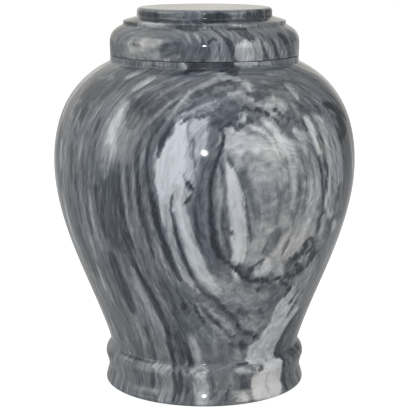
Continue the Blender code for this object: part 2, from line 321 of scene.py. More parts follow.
    vein(0.18, 4.4, (5, 226.6), (10, 229), (14, 231.6), blur=1.8, ragged=1.8),
    vein(0.48, 2.6, (4.6, 232.4), (7.6, 233), **TORN),
    vein(0.24, 3.6, (-3, 220.4), (1, 224), (6, 225), blur=1.6, ragged=1.6),
    vein(0.26, 5, (8, 219.6), (12, 220), (10, 215), blur=2.6, ragged=1.8),
    vein(0.72, 7.4, (20.6, 231), (20.2, 236), blur=3.6, ragged=1.2),
    vein(0.67, 6, (11.6, 226), (15, 226.4), (18.2, 223), (21.2, 218), blur=3.6, ragged=1.2),
    vein(0.64, 4, (15.6, 230), (17, 227), blur=3, ragged=0.9),
    vein(0.75, 12, (26.8, 216.4), (29.4, 218.4), (31.2, 217.4), blur=5.4, ragged=1.4),
    vein(0.76, 6, (26.2, 208), (27.2, 212.6), (28, 216), blur=3.6, ragged=1.2),
    vein(0.06, 2, (29.2, 214), (30.2, 211.4), **TORN),
    vein(0.15, 4.6, (19.4, 227), (23, 227), (28, 227.4), blur=2.4, ragged=1.4),
    vein(0.2, 2.6, (22, 222.6), (24.6, 224), **TORN),
    vein(0.03, 2, (11, 209.6), (13.4, 211), (15, 214.6), (17.2, 216), (19.4, 213.8), (21.6, 215),
         (24, 212.4), (27, 208.6), (30, 205), blur=1.1, ragged=1),
    vein(0.5, 3, (26, 237), (31, 235), blur=2.4, ragged=1.4),
    vein(0.5, 4, (34, 243), (40, 244), blur=3, ragged=1.4),
    vein(0.22, 5, (24, 232), (30, 231.6), (36, 232), (41, 236), blur=3, ragged=1.6),
    vein(0.66, 4.6, (41, 233), (42, 227), (42.2, 221), blur=2.4, ragged=1.2),
    vein(0.54, 3.4, (37, 221), (38.6, 214), (38.6, 208), blur=2.4, ragged=1.2),
    vein(0.18, 2.8, (39.6, 220), (42, 216), (43.6, 212), **TORN),
    vein(0.18, 3, (46, 234), (49, 228), (52.4, 222), (56, 213), (59, 205), ragged=1),
    vein(0.52, 2.4, (48.6, 233), (52, 226), (56, 217), ragged=1),
    vein(0.52, 2.2, (45, 224), (48, 217), (51, 210), ragged=1),
    vein(0.2, 2.2, (47, 222), (49.6, 216), (52.6, 208), ragged=1),
    vein(0.58, 2.4, (52, 220), (56, 212), (58, 206), ragged=1),
    vein(0.03, 8.6, (-9.8, 253), (-2, 253), (6, 253.4), (17.4, 252.8), blur=1.2, ragged=0.7),
    vein(0.06, 4, (-9.6, 252), (-9.4, 247), blur=1.2),
    vein(0.06, 7, (13, 250), (15.6, 247.6), blur=1.6, ragged=0.8),
    vein(0.46, 3, (-3, 246), (2, 248.4), (7, 248.4), (9.4, 245), blur=2),
    vein(0.76, 4, (18, 255), (25, 254.6), (31.4, 254.8), blur=2, ragged=0.7),
    vein(0.58, 3, (33, 254.8), (38, 254.6), (44, 254.4), blur=1.8, ragged=0.7),
    vein(0.62, 4, (-13, 255.2), (-11.6, 253), blur=1.8),
    vein(0.62, 4, (-38, 254.4), (-33, 255), blur=3),
    vein(0.52, 2.6, (-30, 255), (-21, 255)),
    # upper left
    vein(0.17, 22, (-46, 238), (-53, 230), (-59, 220), (-58, 208), **PATCH),
    vein(0.46, 3, (-63, 236), (-57.6, 236.4), blur=3),
    vein(0.48, 3, (-55.4, 239), (-51, 237), blur=3),
    vein(0.08, 3.2, (-55.4, 227.4), (-53, 225), blur=2.4),
    # painted reflections of the room: light patches at the left edge of the shoulder
    vein(0.5, 5, (-66.4, 213), (-63, 215), blur=4),
    vein(0.56, 5, (-67, 206), (-63.6, 202.6), blur=4),
    vein(0.42, 3, (-54, 216), (-52, 211), (-52.6, 206), blur=2.4),
    vein(0.46, 3, (-60, 204.6), (-56.6, 199.6), (-54.6, 194), blur=3),
    vein(0.12, 2.6, (-57.6, 211), (-54.6, 205), blur=2.4),
    vein(0.16, 2.6, (-59, 196), (-56, 191), blur=2.4),
    # painted reflection of the room: a light patch at the left edge of the belly
    vein(0.68, 7, (-68.4, 184), (-67.8, 176), (-67, 169), blur=4),
    vein(0.52, 5, (-63, 184), (-62, 175), (-61.2, 166), blur=4),
    vein(0.1, 3.4, (-58.8, 190), (-58, 180), (-57.4, 166), blur=2.6),
    vein(0.16, 3, (-54, 166), (-53.4, 150), (-53, 134), blur=2.4),
    # painted reflection of the left window: the soft light streak down the left of the belly
    vein(0.56, 12, (-34.6, 214), (-36.4, 202), (-36.6, 188), blur=6),
    vein(0.72, 9, (-34.2, 218), (-35, 210), (-36.2, 199), (-36.6, 190), (-36.4, 178), blur=5),
    vein(0.84, 5.6, (-34.8, 213), (-35.8, 203), (-36.4, 192), (-36.4, 182), blur=4),
    vein(0.58, 6, (-37, 188), (-37.4, 178), (-37.6, 169), blur=3),
    vein(0.12, 9, (-27.4, 220), (-28.6, 214), (-28.8, 208), (-27.6, 204), blur=5, ragged=2),
    vein(0.04, 3.6, (-27.2, 222), (-27.4, 217), (-28.8, 213), **TORN),
    vein(0.06, 3, (-31, 213), (-30.2, 208), (-29.2, 203.6), **TORN),
    vein(0.08, 2, (-26.2, 216), (-25.6, 210), (-26.4, 205), **TORN),
    vein(0.16, 4, (-24, 228), (-26, 221), **TORN),
    vein(0.16, 3, (-21, 216), (-24, 210), (-25, 205), **TORN),
    vein(0.46, 4, (-29, 224), (-26.4, 229), (-22, 233), blur=3.4, ragged=1),
    # painted reflections of the left window's panes on the left of the shoulder
    vein(0.64, 5.4, (-32.4, 230), (-29.4, 235), (-26.4, 241), blur=4.4, ragged=0.8),
    vein(0.58, 5.4, (-41.4, 240), (-38.6, 244), (-36, 249), blur=4.4, ragged=0.8),
    vein(0.46, 4, (-55, 240), (-53, 236), blur=3.4, ragged=1),
    vein(0.18, 4, (-54, 229), (-53, 225), blur=2.6, ragged=1),
    vein(0.24, 3, (-50.4, 219), (-51, 206), blur=2),
    vein(0.5, 4.6, (-46, 221), (-47.6, 212), (-49, 204), blur=2.4),
    vein(0.44, 3.4, (-42, 214), (-43.4, 203), blur=2.4),
    vein(0.22, 2.6, (-44.4, 206), (-44.8, 196), blur=2.4),
    vein(0.46, 2.6, (-52.8, 210), (-53.6, 196), blur=2),
    vein(0.52, 2.6, (-58.6, 212), (-59.6, 196), blur=2),
    vein(0.22, 2.4, (-57.4, 188), (-57.8, 172), (-57.4, 158), blur=2),
    vein(0.5, 3.4, (-51, 196), (-52, 180), (-51.6, 168), blur=2.4),
    vein(0.26, 3, (-49.6, 180), (-49.2, 165), (-49.6, 150), blur=2.4),
    vein(0.3, 4, (-44, 190), (-43.6, 176), blur=3),
    vein(0.14, 1.8, (-22.4, 200), (-24.2, 190), (-25, 180), (-24.4, 170)),
    vein(0.56, 2, (-20.8, 198), (-22, 188), (-22.4, 177)),
    vein(0.1, 2.6, (-18.6, 200), (-20.4, 190), (-20.6, 180), (-19.8, 168), (-18.8, 156)),
    vein(0.42, 1.6, (-18.4, 186), (-18.6, 175), (-17.6, 163), (-16, 150)),
    vein(0.52, 2.2, (-25.4, 206), (-27.4, 197)),
    vein(0.55, 2.6, (-29.4, 181), (-29.6, 168), (-29.2, 152), (-28.4, 140), (-27.6, 128), (-26.4, 114)),
    vein(0.2, 1.8, (-28, 182), (-27.8, 168), (-27.4, 155)),
    vein(0.54, 2.2, (-26.2, 184), (-26, 168), (-25.4, 156), (-24.8, 146), (-24, 138)),
    vein(0.06, 3.4, (-23.8, 184), (-23.8, 165), (-23, 150), (-22, 138), (-21, 126), (-20, 114)),
    vein(0.5, 1.5, (-22, 178), (-21.6, 162), (-20.6, 148)),
    vein(0.62, 1.8, (-20.6, 148), (-19.4, 138), (-18.2, 126), (-16.8, 117), (-15.4, 109)),
    vein(0.06, 4.4, (-18.9, 160), (-18.2, 150), (-17, 140), (-15.8, 130), (-14.4, 120), (-12.6, 110),
         (-10, 99)),
    vein(0.2, 1.4, (-10.6, 162), (-11.6, 155), (-11.8, 148)),
    vein(0.14, 2.8, (-12, 150), (-11.2, 144), (-10.2, 134), (-9, 122), (-7.4, 112), (-5.4, 104), (-2, 95)),
    vein(0.16, 3.2, (-3.4, 95), (0, 89), (4, 84), (8, 79), blur=2.4),
    vein(0.56, 1.4, (-9.6, 111), (-7, 105), (-4.6, 99), (-2, 93)),
    vein(0.07, 3.6, (-31.4, 178), (-31.4, 160), (-30.8, 146), (-30, 136), blur=2),
    vein(0.12, 2.6, (-30, 138), (-28.8, 126), (-27.4, 116)),
    vein(0.1, 4.6, (-42.4, 160), (-42, 148), (-41, 136), (-40.8, 126), blur=2.6),
    # lower left
    vein(0.62, 3.4, (-46, 158), (-46.2, 144), (-46.4, 130), (-45.6, 116), (-44.4, 104), blur=2.4),
    vein(0.5, 4, (-52, 156), (-51.6, 140), (-52, 126), blur=2.8),
    vein(0.26, 3.2, (-48.8, 146), (-48.6, 134), (-48.8, 122), blur=2.4),
    vein(0.28, 3, (-54.6, 150), (-54.2, 136), blur=2.4),
    vein(0.56, 5.4, (-50.4, 122), (-50.8, 108), blur=3.4),
    vein(0.3, 3, (-47.4, 108), (-48, 96), (-48, 84), blur=2.4),
    vein(0.66, 4.6, (-52.6, 98), (-52.4, 87), (-51, 74), blur=3.4),
    vein(0.28, 5, (-57.4, 78), (-57.2, 60), (-56.6, 40), blur=4),
    vein(0.5, 4, (-62.6, 80), (-62.4, 60), (-62, 40), blur=4),
    vein(0.28, 13, (-60.4, 150), (-59.6, 130), (-58.6, 112), (-57.6, 96), **PATCH),
    vein(0.6, 8, (-68, 150), (-68, 130), (-67.6, 110), blur=5),
    vein(0.16, 3, (-38.6, 112), (-37.8, 106), blur=2),
    vein(0.14, 8.8, (-40.2, 112), (-39.8, 104), (-39, 94), (-38.2, 84), (-37.8, 74), (-37.4, 69), blur=3.2),
    vein(0.62, 4, (-30.8, 104), (-29.8, 96), (-28.4, 88), (-27.2, 80), blur=2.6),
    vein(0.55, 11, (-31, 94), (-29, 80), (-27, 66), (-25.6, 50), (-25, 38), blur=4),
    vein(0.66, 4.4, (-30.4, 98), (-28.8, 86), (-26.4, 72), (-23.6, 58), blur=3.6),
    vein(0.62, 2.8, (-37.2, 66), (-36.6, 56), (-35.8, 47), (-35, 38), blur=2.4),
    vein(0.2, 4, (-32.4, 56), (-31, 46), (-30.4, 36), (-30, 29), blur=3),
    vein(0.07, 4.2, (-30.6, 132), (-30.2, 119), (-29.2, 108), (-27.2, 99), (-25.2, 90), (-23.4, 81),
         (-21.2, 70), (-19.8, 60), (-19, 50), blur=2),
    vein(0.07, 4.2, (-19.4, 56), (-19.4, 46), (-18.6, 37), (-18, 29), blur=2),
    vein(0.5, 2.6, (-24.4, 110), (-22, 98), (-20, 88), (-18, 78), (-15.4, 66), blur=2.2),
    vein(0.52, 2, (-17.6, 56), (-16.4, 48), (-15, 40)),
    vein(0.52, 1.8, (-15.4, 104), (-13.8, 97), (-12, 91)),
    vein(0.2, 3, (-18.4, 106), (-16.4, 96), (-14.6, 87), (-12.6, 78), blur=2.6),
    vein(0.12, 4.4, (-14.6, 54), (-14, 46), (-13, 37), (-12.6, 29), blur=2.4),
    vein(0.14, 5, (-10.6, 45), (-9, 36), (-8, 29), blur=2.4),
    vein(0.6, 7, (-7, 52), (-5.4, 44), (-3.6, 36), (-2.6, 31), blur=4),
    vein(0.78, 4.6, (-7.2, 51), (-6, 45), (-4.4, 38), (-3.2, 31), blur=2.8),
    vein(0.08, 2.6, (-9.6, 80), (-9, 75), (-8.2, 72), **TORN),
    vein(0.1, 2.8, (-4.4, 79), (-3.4, 74), (-2, 69), (0, 65), (0.4, 61), ragged=0.9),
    vein(0.08, 1.8, (0.4, 74), (2, 69), (4.6, 65), (7, 61.4), (8.6, 59)),
    vein(0.66, 3.4, (-3.4, 80), (-1, 72), (1.8, 66), (5, 61), (9, 55), (14, 47), blur=2),
    vein(0.66, 4.2, (0.4, 79), (3, 74), (6, 69), (10, 64), (13, 59), (15.4, 53), blur=2.2, ragged=0.9),
    # second torn ring, below the first
    vein(0.56, 26, (14, 84), (22, 78), (25, 66), **PATCH),
    vein(0.36, 8, (33, 90), (33.6, 78), (32.6, 66), blur=4, ragged=1.6),
    vein(0.62, 4.6, (16, 82), (19, 79), (22, 80), blur=3, ragged=1.6),
    vein(0.6, 4.6, (24, 86), (27, 83), blur=3, ragged=1.6),
    vein(0.6, 4.6, (24, 66), (27, 61), (28, 57), blur=3, ragged=1.6),
    vein(0.3, 3.4, (15, 73), (19, 71), (22, 66), blur=2, ragged=1.8),
    vein(0.3, 3, (27, 72), (29, 66), blur=2, ragged=1.8),
    vein(0.2, 2.6, (4.4, 86), (6.4, 80), (9, 74.6), (12, 70.4), (14.6, 66.4), (16.6, 61), blur=2.4,
         ragged=1.3),
    vein(0.1, 3, (16.2, 64), (17.4, 59), (19.4, 55.6), (22.4, 53.6), (25.6, 51), blur=1.8, ragged=1.4),
    vein(0.22, 6, (28.6, 47), (31.4, 46), (35, 48.6), blur=2.4, ragged=1.6),
    vein(0.12, 3.4, (29, 49.6), (31.4, 44), **TORN),
    vein(0.12, 3, (41, 88), (41.2, 82), (40, 78), **TORN),
    vein(0.22, 3.2, (24, 89), (26, 91), **TORN),
    vein(0.6, 3.4, (33.4, 97), (33.2, 91), **TORN),
    vein(0.16, 4.4, (20.6, 45.6), (22, 42), blur=1.8, ragged=1.2),
    vein(0.26, 2.4, (11.6, 52.4), (15, 50.4), **TORN),
    vein(0.24, 2.4, (14.6, 45), (17, 43), **TORN),
    vein(0.56, 3, (16.6, 41), (19, 37), (21.6, 31), blur=2.2),
    vein(0.54, 2.6, (5, 52), (6, 44), (6.6, 36), blur=2.2),
    vein(0.34, 2.2, (0.6, 52), (1.4, 44), (2, 36), blur=2),
    vein(0.34, 2.6, (9.6, 46), (10.4, 38), (10.6, 31), blur=2.2),
    # white at the lower right, down into the foot
    vein(0.74, 6, (44.4, 91), (43.4, 84), (41.6, 78), blur=2.6, ragged=1.2),
    vein(0.64, 13, (51, 102), (50, 90), (50.6, 78), (50.6, 66), blur=5, ragged=1.4),
    vein(0.84, 17, (43.4, 74), (42.4, 67), (43, 58), blur=3.6, ragged=1.2),
    vein(0.83, 22, (43.4, 56), (40.4, 48), (36.4, 40), (34, 36), blur=4, ragged=1.2),
    vein(0.82, 13, (31, 38), (30.6, 32.6), blur=3.4, ragged=1),
    vein(0.84, 13, (39.4, 38), (42, 33), blur=3.4, ragged=1),
    vein(0.82, 7.4, (53.4, 64), (51, 58), (48.6, 50), (46, 42), blur=2.8, ragged=1),
    vein(0.34, 3.2, (50, 72), (48.8, 66), (47.4, 60), blur=2.2, ragged=1.2),
    vein(0.6, 3, (54, 78), (57, 70), blur=3, ragged=1.2),
    vein(0.26, 13, (57, 52), (57, 42), (58, 32), **PATCH),
    vein(0.07, 6, (56.4, 60), (53.4, 54), (51, 48), (49.4, 42), (48.2, 36), (48.8, 30), (51, 27), blur=2.4),
    vein(0.46, 2.2, (54.4, 43), (54, 36), blur=2),
    # foot
    vein(0.34, 16, (58, 22), (59, 10), **PATCH),
    vein(0.07, 4.4, (51, 26.6), (51.4, 21), (51.4, 15), (53, 9), (54.6, 2), blur=1.6),
    vein(0.12, 3.6, (60.6, 30), (62.4, 24), (60, 16), (60.6, 8), (62.6, 2), blur=2),
    vein(0.9, 22, (37, 15), (41.6, 14.4), blur=5),
    vein(0.9, 20, (36.6, 9), (41.6, 8.4), blur=5),
    vein(0.94, 12, (33.6, 14), (33.6, 6), blur=4),
    vein(0.94, 10, (38, 4), (46.4, 4), blur=3.6),
    vein(0.98, 5, (33, 17), (32.6, 10), (33, 3), blur=3),
    vein(0.98, 5, (42, 16), (43.4, 9), (45, 3), blur=3),
    vein(0.8, 2.2, (38.6, 18), (38.4, 10), (39, 3), blur=2.4),
    vein(0.96, 6.4, (38.6, 24), (43, 24), (48, 23.6), blur=3),
    vein(0.74, 4, (18.6, 23.6), (22, 23.6), blur=2.2, ragged=0.8),
    vein(0.6, 3.4, (24, 23.6), (27, 23.4), blur=2.2, ragged=0.8),
    # painted highlight: a thin light line along the bead's upper edge
    vein(0.6, 3, (29, 25), (35, 25.4), blur=1.4, ragged=0.8),
    vein(0.26, 2.4, (28, 22.6), (30, 22), **TORN),
    vein(0.24, 2.8, (32.4, 22), (35, 22.6), **TORN),
    vein(0.24, 2.2, (16.8, 24), (18.2, 21), **TORN),
    vein(0.22, 5, (21.6, 19), (22.8, 15), (23.6, 11), blur=3.8, ragged=1),
    # painted reflection of the right window: soft light patches on the foot's cove
    vein(0.62, 6, (16.6, 7), (20.6, 5), blur=3.6, ragged=0.9),
    vein(0.78, 5, (22.4, 5), (23.4, 2), blur=3, ragged=0.9),
    vein(0.18, 3.2, (11.6, 3), (12.6, 7), (14, 11), **TORN),
    vein(0.3, 1.6, (3.6, 24), (4.4, 17), (5, 10), (6, 3)),
    vein(0.52, 2.2, (7, 22), (7.6, 12), (8.6, 4), blur=1.8),
    vein(0.54, 2.2, (14.6, 24), (15, 16), blur=1.8),
    vein(0.34, 1.6, (10.4, 23), (10.8, 15)),
    vein(0.05, 2.4, (19, 28.4), (26, 28.4), blur=1),
    vein(0.7, 11, (-2.6, 25), (-2, 14), (-1, 4), blur=3.6),
    vein(0.8, 4, (-3.4, 24), (-2.6, 14), (-2.4, 3), blur=3),
    vein(0.7, 4.6, (-7, 25), (-3, 25), (1, 24.6), blur=2.4),
    vein(0.32, 5.6, (-9.4, 22), (-9, 12), (-8.6, 3), blur=2.4),
    vein(0.12, 3, (-14, 26.6), (-13.2, 20), (-13, 13), (-13.8, 7), (-14.4, 2), blur=1.6),
    vein(0.36, 1.8, (-15.4, 24), (-15, 16), (-15.2, 8), blur=1.4),
    vein(0.07, 3.6, (-17.8, 27), (-17.2, 21), (-16.6, 14), (-16.6, 8), (-17.4, 2), blur=1.6),
    vein(0.58, 1.6, (-12, 25.4), (-11, 22)),
    vein(0.6, 1.8, (-11.4, 8), (-12.4, 3)),
    vein(0.56, 14, (-24, 18), (-24, 6), blur=3),
    vein(0.62, 6, (-28, 24.6), (-20.4, 24.6), blur=1.8),
    vein(0.4, 2, (-25.6, 20), (-25, 10)),
    vein(0.16, 4, (-30.4, 22), (-30, 16), (-31, 10), blur=2.6),
    vein(0.2, 5, (-30, 3), (-36, 3.4), blur=2),
    # painted highlight: a thin light line along the bead's upper edge
    vein(0.52, 2.4, (-58, 25.4), (-44, 25.4), (-32, 25.4), blur=1.4),
    vein(0.12, 2.4, (-60, 28), (-44, 28), (-29, 28), blur=1.2),
    # torn marks and light flakes at the lower right
    vein(0.1, 3.4, (37, 110.5), (39, 112), (41.4, 110), **TORN),
    vein(0.04, 3.2, (42.6, 121), (44.4, 118.6), (43.4, 114.4), (41.8, 112), **TORN),
    vein(0.04, 3.2, (47.6, 119), (49.6, 115.4), (51.8, 111), (54.4, 110.4), **TORN),
    vein(0.05, 4, (36.6, 99), (39.2, 95), (41.4, 97.6), (43.6, 101.4), (46, 100), **TORN),
    vein(0.04, 3.8, (46.4, 108.6), (48.6, 110.4), (50, 107), (49, 102.6), **TORN),
    vein(0.08, 3, (34.4, 94), (36.8, 91), (39.4, 90.6), **TORN),
    vein(0.58, 2.4, (43.2, 108.6), (45.6, 109.6), (47, 111), blur=1, ragged=1.2),
    vein(0.06, 3.4, (40, 80.6), (41.6, 84.4), (42.4, 87.6), **TORN),
    vein(0.6, 3, (50, 116.6), (52.8, 119), (55.6, 118), blur=1.4),
    vein(0.56, 3.4, (51.4, 98), (49, 93), (46.8, 88), blur=1.4),
    vein(0.3, 3.2, (48.6, 82), (47, 77), (45.4, 72), blur=1.4, ragged=1),
    vein(0.26, 3, (53.4, 80), (51.8, 76), (50.6, 71), blur=1.4, ragged=1),
    vein(0.55, 3, (52.4, 86), (50.8, 82), (49.6, 78.6), blur=1.4),
    vein(0.57, 3, (57, 78), (54.6, 73.6), (52.6, 68.6), blur=1.4),
    vein(0.04, 2.2, (27.6, 92.6), (29.6, 93.8), (31.6, 96.2), (34.4, 97.4), **TORN),
    vein(0.46, 2.6, (39.4, 103.4), (41, 99.8), (42.4, 96.2), blur=1, ragged=1.2),
    # fine strands at the right of the ring
    vein(0.52, 2, (46.8, 179), (47.9, 171), (48.6, 163), (49.6, 155), blur=1),
    vein(0.1, 1.8, (48.6, 178), (49.8, 171), (50.2, 166), blur=1, ragged=1.2),
    vein(0.1, 2, (49, 163), (50, 159), (50.4, 155), blur=1, ragged=1.2),
    vein(0.28, 1.8, (52.4, 170), (53.4, 162), (54.4, 153), blur=1, ragged=1),
    vein(0.56, 2.4, (56.2, 170), (57.2, 162), (58.2, 154), blur=1.2),
    vein(0.54, 2.4, (51, 152), (53, 145), (55.6, 139), blur=1.4),
    vein(0.1, 3.2, (58.4, 154), (59.6, 150), (61, 145), blur=1.2, ragged=1.2),
    vein(0.1, 2.6, (62.6, 157), (63.6, 152), blur=1.2, ragged=1.2),
    vein(0.03, 2.4, (47.8, 137), (48.6, 133), (48, 126.4), **TORN),
)

# Veins of the lid's front, painted in this order, with a few painted reflections of the windows and painted
# highlights on the ring's edge among them. Climb runs up the outline from the seam.
LID_VEINS_AND_SHEEN = (
    # left of the band and the ovolo
    vein(0.36, 30, (-66, 10), (-40, 12), (-12, 12), **PATCH),
    # painted reflection of the left window: the broad soft light patch on the ovolo
    vein(0.69, 16, (-47, 8.6), (-36, 9.4), (-29, 8.6), **PATCH),
    vein(0.6, 2.6, (-46, 4), (-36, 5), (-29, 5.6), blur=3),
    vein(0.58, 2.4, (-40, 12.4), (-34, 12.4), (-28, 11), blur=3),
    vein(0.36, 1.8, (-49, 9), (-44, 9.8), (-39, 9), blur=2),
    vein(0.3, 7, (-24, 6.4), (-18, 7.6), (-12, 9.4), blur=3.6, ragged=1),
    vein(0.24, 2.6, (-26, 10.4), (-20, 11), (-14, 12), blur=2),
    vein(0.56, 3.6, (-21, 2.4), (-14, 3), (-9, 1.4), blur=2.4),
    vein(0.5, 2, (-60, 3.4), (-48, 2.6), (-36, 2.2), blur=2),
    vein(0.34, 3, (-62, 12), (-56, 15), (-48, 17), blur=2.4),
    vein(0.46, 2.6, (-44, 15.4), (-34, 16.6), (-24, 16), blur=2.2),
    vein(0.3, 5, (-60, 21), (-42, 22), (-22, 21.4), blur=3),
    vein(0.48, 1.8, (-30, 19.4), (-22, 18.6), (-14, 16.6), blur=1.8),
    vein(0.54, 2, (-12, 20), (-9.6, 16), (-7, 11.6), blur=1.6),
    vein(0.3, 1.6, (-9.6, 20), (-7, 16), (-5, 12.6)),
    vein(0.56, 2, (-6.4, 21), (-4, 17), (-2, 13), blur=1.6),
    vein(0.26, 11, (-8.6, 4), (-4, 6), (-1, 8), blur=4, ragged=1),
    vein(0.44, 1.6, (-9, 1), (-7.6, 6), (-7, 11)),
    vein(0.18, 4, (-1, 1), (-0.4, 8), (-1, 15), blur=2.4, ragged=0.8),
    vein(0.4, 1.6, (-1, 22), (1, 18), (3, 14.6)),
    # dark vein with a light patch on either side, and the streaks to the right
    vein(0.57, 8.4, (8.2, 1.6), (7.6, 6), (6.8, 11), blur=3.4, ragged=0.9),
    vein(0.5, 3, (11, 3), (10.6, 8), (9.6, 12), blur=2),
    vein(0.32, 1.6, (9, 2), (9, 8), (8.4, 12)),
    vein(0.15, 2, (3.4, 13.6), (5.6, 15.4), **TORN),
    vein(0.5, 2.2, (3, 24), (5.4, 20), (8, 15.6), blur=1.4),
    vein(0.34, 1.6, (5.4, 24), (8, 20), (10.4, 15.4)),
    vein(0.5, 2.4, (9.6, 25), (12.4, 21), (15, 17), blur=1.6),
    vein(0.08, 2.2, (3.6, 26.6), (6.4, 23), (9, 19.4), (11.6, 15.6), (13.4, 12.6), ragged=0.7),
    vein(0.06, 4.6, (12.6, 15), (14.8, 11), (16.4, 6), (17.6, 0.2), ragged=0.8),
    # the light patch right of the dark vein is partly the stone and partly a painted reflection of the right
    # window
    vein(0.77, 15, (23.8, 6), (27, 7.6), blur=3.4, ragged=0.9),
    vein(0.86, 4, (23.4, 2), (23.6, 8), (23.4, 12), blur=2.6),
    vein(0.7, 5.4, (32.6, 2), (33, 8), (32.6, 13), blur=2, ragged=0.8),
    vein(0.42, 1.4, (26, 16), (29, 11), (30.8, 5)),
    vein(0.48, 1.3, (27, 9), (28.4, 4)),
    vein(0, 4.4, (16.8, 24.6), (22, 24.6), (27, 24), blur=2, ragged=1),
    vein(0.03, 3.4, (17.6, 24), (20.6, 21), (23, 18.4), blur=2.2, ragged=1.2),
    vein(0.04, 3.4, (23, 24), (26, 21), (28.4, 17.6), (29.8, 14), blur=2, ragged=1),
    vein(0.16, 3, (20, 21), (24, 17.4), (27.6, 14.6), (29.4, 11.6), blur=1.6, ragged=1),
    vein(0.52, 3, (30.6, 21), (33.4, 17), (36, 13), blur=1.8, ragged=0.8),
    vein(0.46, 2.4, (36, 22), (39.6, 18), (42, 14.6), blur=1.6, ragged=0.8),
    vein(0.3, 1.6, (34, 21), (37, 17), (39.6, 13)),
    vein(0.2, 1.9, (34.6, 14), (36, 9), (37.4, 5), (39, 2), (40.4, 0.6)),
    vein(0.64, 4.6, (38, 11), (40.6, 7), (43, 2.6), blur=1.8),
    vein(0.08, 2.6, (41.6, 14.6), (43.6, 11.6), (44.8, 8.6), (46.4, 4), (48.8, 0.4)),
    vein(0.58, 4, (46.4, 13), (48.8, 8), (51.6, 3), blur=1.8),
    vein(0.34, 1.4, (48.4, 14), (51, 9), (53.4, 4)),
    vein(0.1, 5.2, (52, 16.6), (55, 13.6), (57.6, 9.6), (60, 5), (62.6, 0.4), ragged=0.8),
    vein(0.48, 2.2, (52.6, 8), (55, 4), (57.6, 0.6)),
    vein(0.16, 4, (62, 12), (64.6, 7), (66.6, 2), ragged=0.8),
    vein(0.48, 2.4, (59, 14), (62.4, 9)),
    vein(0.42, 12, (72, 6), (73, 14), **PATCH),
    vein(0.76, 1.4, (-23.4, 1), (-20.6, 1), blur=0.9),
    vein(0.86, 1.3, (34.4, 0.7), (36.8, 0.7), blur=0.9),
    # ring and shelf
    vein(0.08, 4.4, (-18, 26), (-12, 24.4), (-5, 23.4), blur=1.8, ragged=0.8),
    vein(0.24, 2.4, (-40, 24), (-28, 24), (-18, 24), blur=1.2),
    vein(0.1, 9, (-68, 28), (-57, 29), blur=3),
    vein(0.56, 5, (-46, 28.8), (-38, 29), (-28, 28.4), blur=3.4, ragged=0.7),
    vein(0.74, 3, (-46, 28), (-38, 28.2), (-29, 27.8), blur=3, ragged=0.7),
    vein(0.62, 1.8, (-48, 26.6), (-38, 26.6), (-26, 26.8), blur=1.6),
    vein(0.14, 12, (-18, 34), (-10, 31), (-2, 33), blur=3, ragged=0.8),
    vein(0.42, 2, (-17.6, 38), (-15.6, 33), (-14, 27)),
    vein(0.38, 1.8, (-11, 35), (-9, 30), (-7, 25)),
    vein(0.44, 4.4, (1.6, 26), (0.6, 33), (-2, 41), blur=2.6, ragged=0.8),
    vein(0.52, 4.6, (7, 29), (10.6, 28.6), blur=2.8),
    # painted highlight: thin light lines along the ring's edge
    vein(0.76, 1.8, (18, 27.2), (28, 27.4), (38, 27.2), blur=1.2),
    vein(0.52, 1.8, (40, 27.4), (58, 27.4), blur=1),
    vein(0.3, 8, (24, 31), (40, 31), (56, 31), blur=3),
    vein(0.44, 1.5, (22, 28), (24.6, 36)),
    vein(0.42, 1.5, (29, 28), (32.4, 36)),
    vein(0.4, 1.5, (37, 28), (41, 35)),
    vein(0.44, 1.6, (46, 28), (50, 34)),
    vein(0.44, 1.6, (54, 28), (58, 34)),
    # disc
    vein(0.06, 9.6, (-66, 37), (-50, 37), (-34, 36), blur=3.2, ragged=1),
    vein(0.03, 8, (-40, 34), (-31, 33.6), (-22, 33), blur=4, ragged=1.2),
    vein(0.3, 4.6, (-31, 39.6), (-22, 38.4), blur=3.4, ragged=0.9),
    vein(0.28, 1.3, (-40, 39), (-32, 39.4), blur=1.2),
    vein(0.46, 4.6, (-21, 40.6), (-12, 40.4), (-4, 40), blur=2, ragged=0.9),
    vein(0.34, 3.4, (-17, 36), (-12, 38), blur=2, ragged=0.8),
    vein(0.07, 9.6, (2.6, 36), (11, 37), (16.6, 37), blur=2.4, ragged=1),
    vein(0.2, 5, (21, 34), (28, 35), (34, 34), blur=2.4),
    vein(0.5, 3.6, (21, 40.8), (28, 40.2), (35, 40.6), blur=1.8, ragged=0.8),
    vein(0.12, 8.4, (39, 37), (46, 36.4), blur=2.8, ragged=1.2),
    vein(0.42, 2.2, (46.6, 42), (49, 37), blur=1.2),
    vein(0.08, 6, (51.6, 39.6), (58, 38.6), blur=2, ragged=0.8),
    vein(0.38, 2.2, (59, 41), (61.4, 37), blur=1.2),
    vein(0.09, 6, (63.4, 39), (76, 38), blur=1.4),
)

# Where the body's stone is torn and clouded instead of drawn out in streaks, from 0 to 1
BODY_TORN = (
    vein(0.06, 44, (16, 186), (24, 165), (24, 146), (24, 132), **PATCH),
    vein(0.9, 26, (-14, 225), (4, 222), (22, 222), (40, 220), (54, 212), **PATCH),
    vein(1, 24, (10, 212), (20, 210), (34, 208), **PATCH),
    vein(1, 26, (8, 104), (20, 98), (34, 100), (48, 104), **PATCH),
    vein(0.9, 40, (4, 74), (20, 66), (38, 66), (48, 62), **PATCH),
    vein(0.6, 30, (6, 36), (28, 34), (46, 36), **PATCH),
)

# How warm the grey is, from 0 for bluish to 1 for beige: the stone's own hue, and the painted warm tint of
# the windows' reflections
BODY_WARMTH_AND_REFLECTION = (
    # warm on the right: the stone's beige there and the painted warm tint of the right window's reflection
    vein(0.95, 64, (38, 210), (38, 160), (38, 110), (36, 40), (36, 8), blur=30),
    vein(0.1, 34, (-9, 205), (-10, 170), (-4, 120), blur=16),
)

